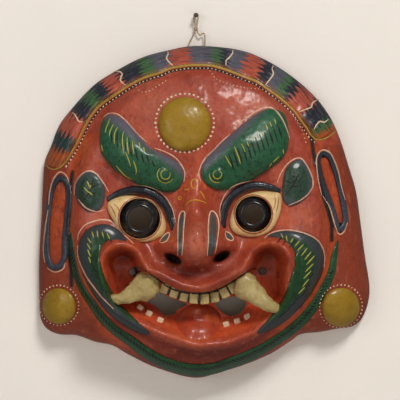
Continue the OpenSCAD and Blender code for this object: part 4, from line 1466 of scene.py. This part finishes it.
for step in range(12):
    sx, su = 29 + 43 * step / 11, 51.5 + 27 * step / 11
    dark_hatches.append([(sx, su), (sx + 2.5, su - 7), (sx + 4.5, su - 14)])
draw_lines("dark_brow_hatching", dark_hatches, 0.85, black_line_paint, lift=0.15)
flame_shadows = [[(x + 2.6, u - 1.6), (x + 4 * (1 if x < 0 else -1), u - 9)]
                 for (x, u), *_ in flame_hatches]
flame_shadows += [[(x, u), (x + 5.5, u - 5.5)] for x, u in (
    (-91.5, -50), (-89.5, -56), (-86.5, -62), (-83.5, -67.5), (-80, -73))]
flame_shadows += [[(x, u), (x - 6, u - 5)] for x, u in (
    (93, -75), (89, -80), (85, -84.5), (80, -89))]
draw_lines("dark_flame_hatching", flame_shadows, 0.6, black_line_paint, lift=0.12)
draw_lines("leaf_veins", [
    [(-101, 9), (-97, 14), (-93.5, 21), (-91, 30)], [(-96, 16), (-89, 17)],
    [(-94, 21), (-87.5, 24)], [(-93, 25), (-98, 30)], [(-97, 14), (-103, 19)],
    [(80, 15), (87.5, 26), (92, 36.5)], [(84.5, 22), (93.5, 24)], [(86.5, 27.5), (94.5, 31)],
    [(88, 31), (83, 35)], [(85.5, 26), (79.5, 27.5)]], 0.7, black_line_paint, lift=0.15)
draw_dots("brow_dark_dots", [
    (36, 32), (42.5, 31), (48.5, 34), (56.5, 37.5), (47, 36.5), (64, 41), (66.5, 51),
    (72, 63.5), (76.5, 72.5), (70, 56), (52, 45), (60, 50), (-79, 57.5), (-82, 62.5),
    (-74.5, 53), (-67.5, 45.5), (-81, 69), (-54, 35), (-34, 24), (-25, 24), (-62, 38),
    (-45, 30)], 0.9, black_line_paint, lift=0.2, seed=5)
draw_lines("brow_scrolls", [
    ring_route(left_scroll_at, 4.2, 60, 330), ring_route(left_scroll_at, 7.4, 130, 200),
    ring_route(right_scroll_at, 3.8, 100, 330), ring_route(right_scroll_at, 7, 170, 120)],
    0.6, hatch_paint)

left_nose_stripe = [(-11.5, -1), (-13.5, -12), (-14.5, -25.5), (-14.5, -38)]
right_nose_stripe = [(14.5, -1), (15.5, -12), (14.5, -25.5), (12.5, -39)]
draw_lines("nose_stripe_fills", [left_nose_stripe], 2.3, nose_stripe_paint, lift=0.4)
draw_lines("nose_stripe_right_fill", [right_nose_stripe], 3.4, nose_stripe_paint, lift=0.5)
draw_lines("nose_stripe_outlines", [
    [(-16, -39), (-16, -25.5), (-16, -12), (-14.5, -2), (-11.5, 0.5), (-10, -2), (-11, -14.5),
     (-11.5, -27.5), (-12.5, -39)],
    [(10, -39), (11, -25.5), (11, -12), (12.5, -1), (15.5, 0.5), (19, -4), (20.5, -12),
     (19, -25.5), (17, -36.5)]], 0.6, white_paint, lift=0.6)
nostril_ovals = [
    [(-32.5, -26.5), (-29.5, -22), (-25, -18.5), (-23.5, -20), (-26, -25.5), (-30.5, -27.5)],
    [(26, -17.5), (29.5, -18.5), (33.5, -23.5), (31.5, -25.5), (27, -23)],
]
draw_lines("nostril_oval_fills", [[(-31, -26), (-25, -20)], [(27, -19.5), (32, -24)]], 2.2,
           nose_stripe_paint, lift=0.15)
draw_lines("nostril_oval_outlines", [o + o[:1] for o in nostril_ovals], 0.5, white_paint, lift=0.35)
draw_lines("nose_bridge_gold", [
    [(-9.9, 5.1), (-5.4, 9.6), (0.9, 10.5), (7.2, 8.7), (9.9, 6.9)],
    [(-1.8 + 2.6 * math.cos(t / 8 * TAU), 24.9 + 4.2 * math.sin(t / 8 * TAU))
     for t in range(9)],
    [(-10.8, 19.5), (-6.3, 20)], ring_route((-14.4, 12.3), 1.4, 0, 350, 9),
    [(3.6, 18.6), (6.5, 15), (8, 11)]], 0.75, gold_paint)

draw_lines("lid_edge_lines", [
    [(-45.9, 12.3), (-38, 9.5), (-32, 3), (-29.5, -4), (-29.5, -9)],
    [(-18, -10), (-21.5, 4), (-30, 16), (-42, 22), (-56, 24)],
    [(22, -8), (21.5, 4), (27, 17), (36, 24), (50, 28)]], 0.5, pink_line_paint)
draw_lines("eye_vein_lines", [
    [(-73, 7), (-69, 3), (-68, -3)], [(-76, 6), (-73, 0), (-71, -5)],
    [(70, 15), (70.5, 8), (69, 2)], [(73.5, 14), (73, 7), (71.5, 0)]], 0.5, vein_paint, lift=0.15)
draw_lines("iris_edge_lines", [
    ring_route(eye_left, 19, 0, 358, 50), ring_route(eye_right, 17, 0, 358, 50)], 0.7,
    vein_paint, lift=0.12, taper=False)

beard_line = even(through([(x, u) for x, u, _ in beard_route[1:-2]], 200), 94)
beard_run = np.gradient(beard_line, axis=0)
beard_run /= np.linalg.norm(beard_run, axis=1)[:, None]
hatch_lean = np.array([[0.62, -0.5], [0.5, 0.62]])
beard_hatches = [[at - 3.2 * slant, at + 3.2 * slant]
                 for at, slant in zip(beard_line, beard_run @ hatch_lean)]
draw_lines("beard_hatching", beard_hatches, 0.95, black_line_paint, lift=0.15)

forehead_dots = (
    spaced([(12.6, 125.7), (18, 118.5), (26.1, 114.9), (39.6, 111.3), (55.8, 109.5)], 3.2)
    + spaced([(-54.9, 114), (-50.4, 107.7), (-45, 106.8), (-39.6, 108.6), (-27, 116.7)], 3.2)
    + spaced([(80, 94), (88, 84), (95, 72), (98, 62)], 3.4)
)
draw_lines("crease_lines", [crease_left, crease_right], 2, crease_paint, lift=0.12, wobble=0.3)
lip_edge = [(-56, -51), (-50, -49.5), (-44, -52.5), (-32.5, -61), (-23.5, -67.5), (-11, -71.5),
            (3.5, -72.5), (18, -70), (29, -64.5), (39.5, -57.5), (48, -51.5), (54, -51)]
draw_lines("lip_edge_line", [lip_edge], 0.8, black_line_paint, lift=0.12,
           wobble=0.3)
draw_dots("forehead_dots", forehead_dots, 0.8, pink_line_paint, seed=7)
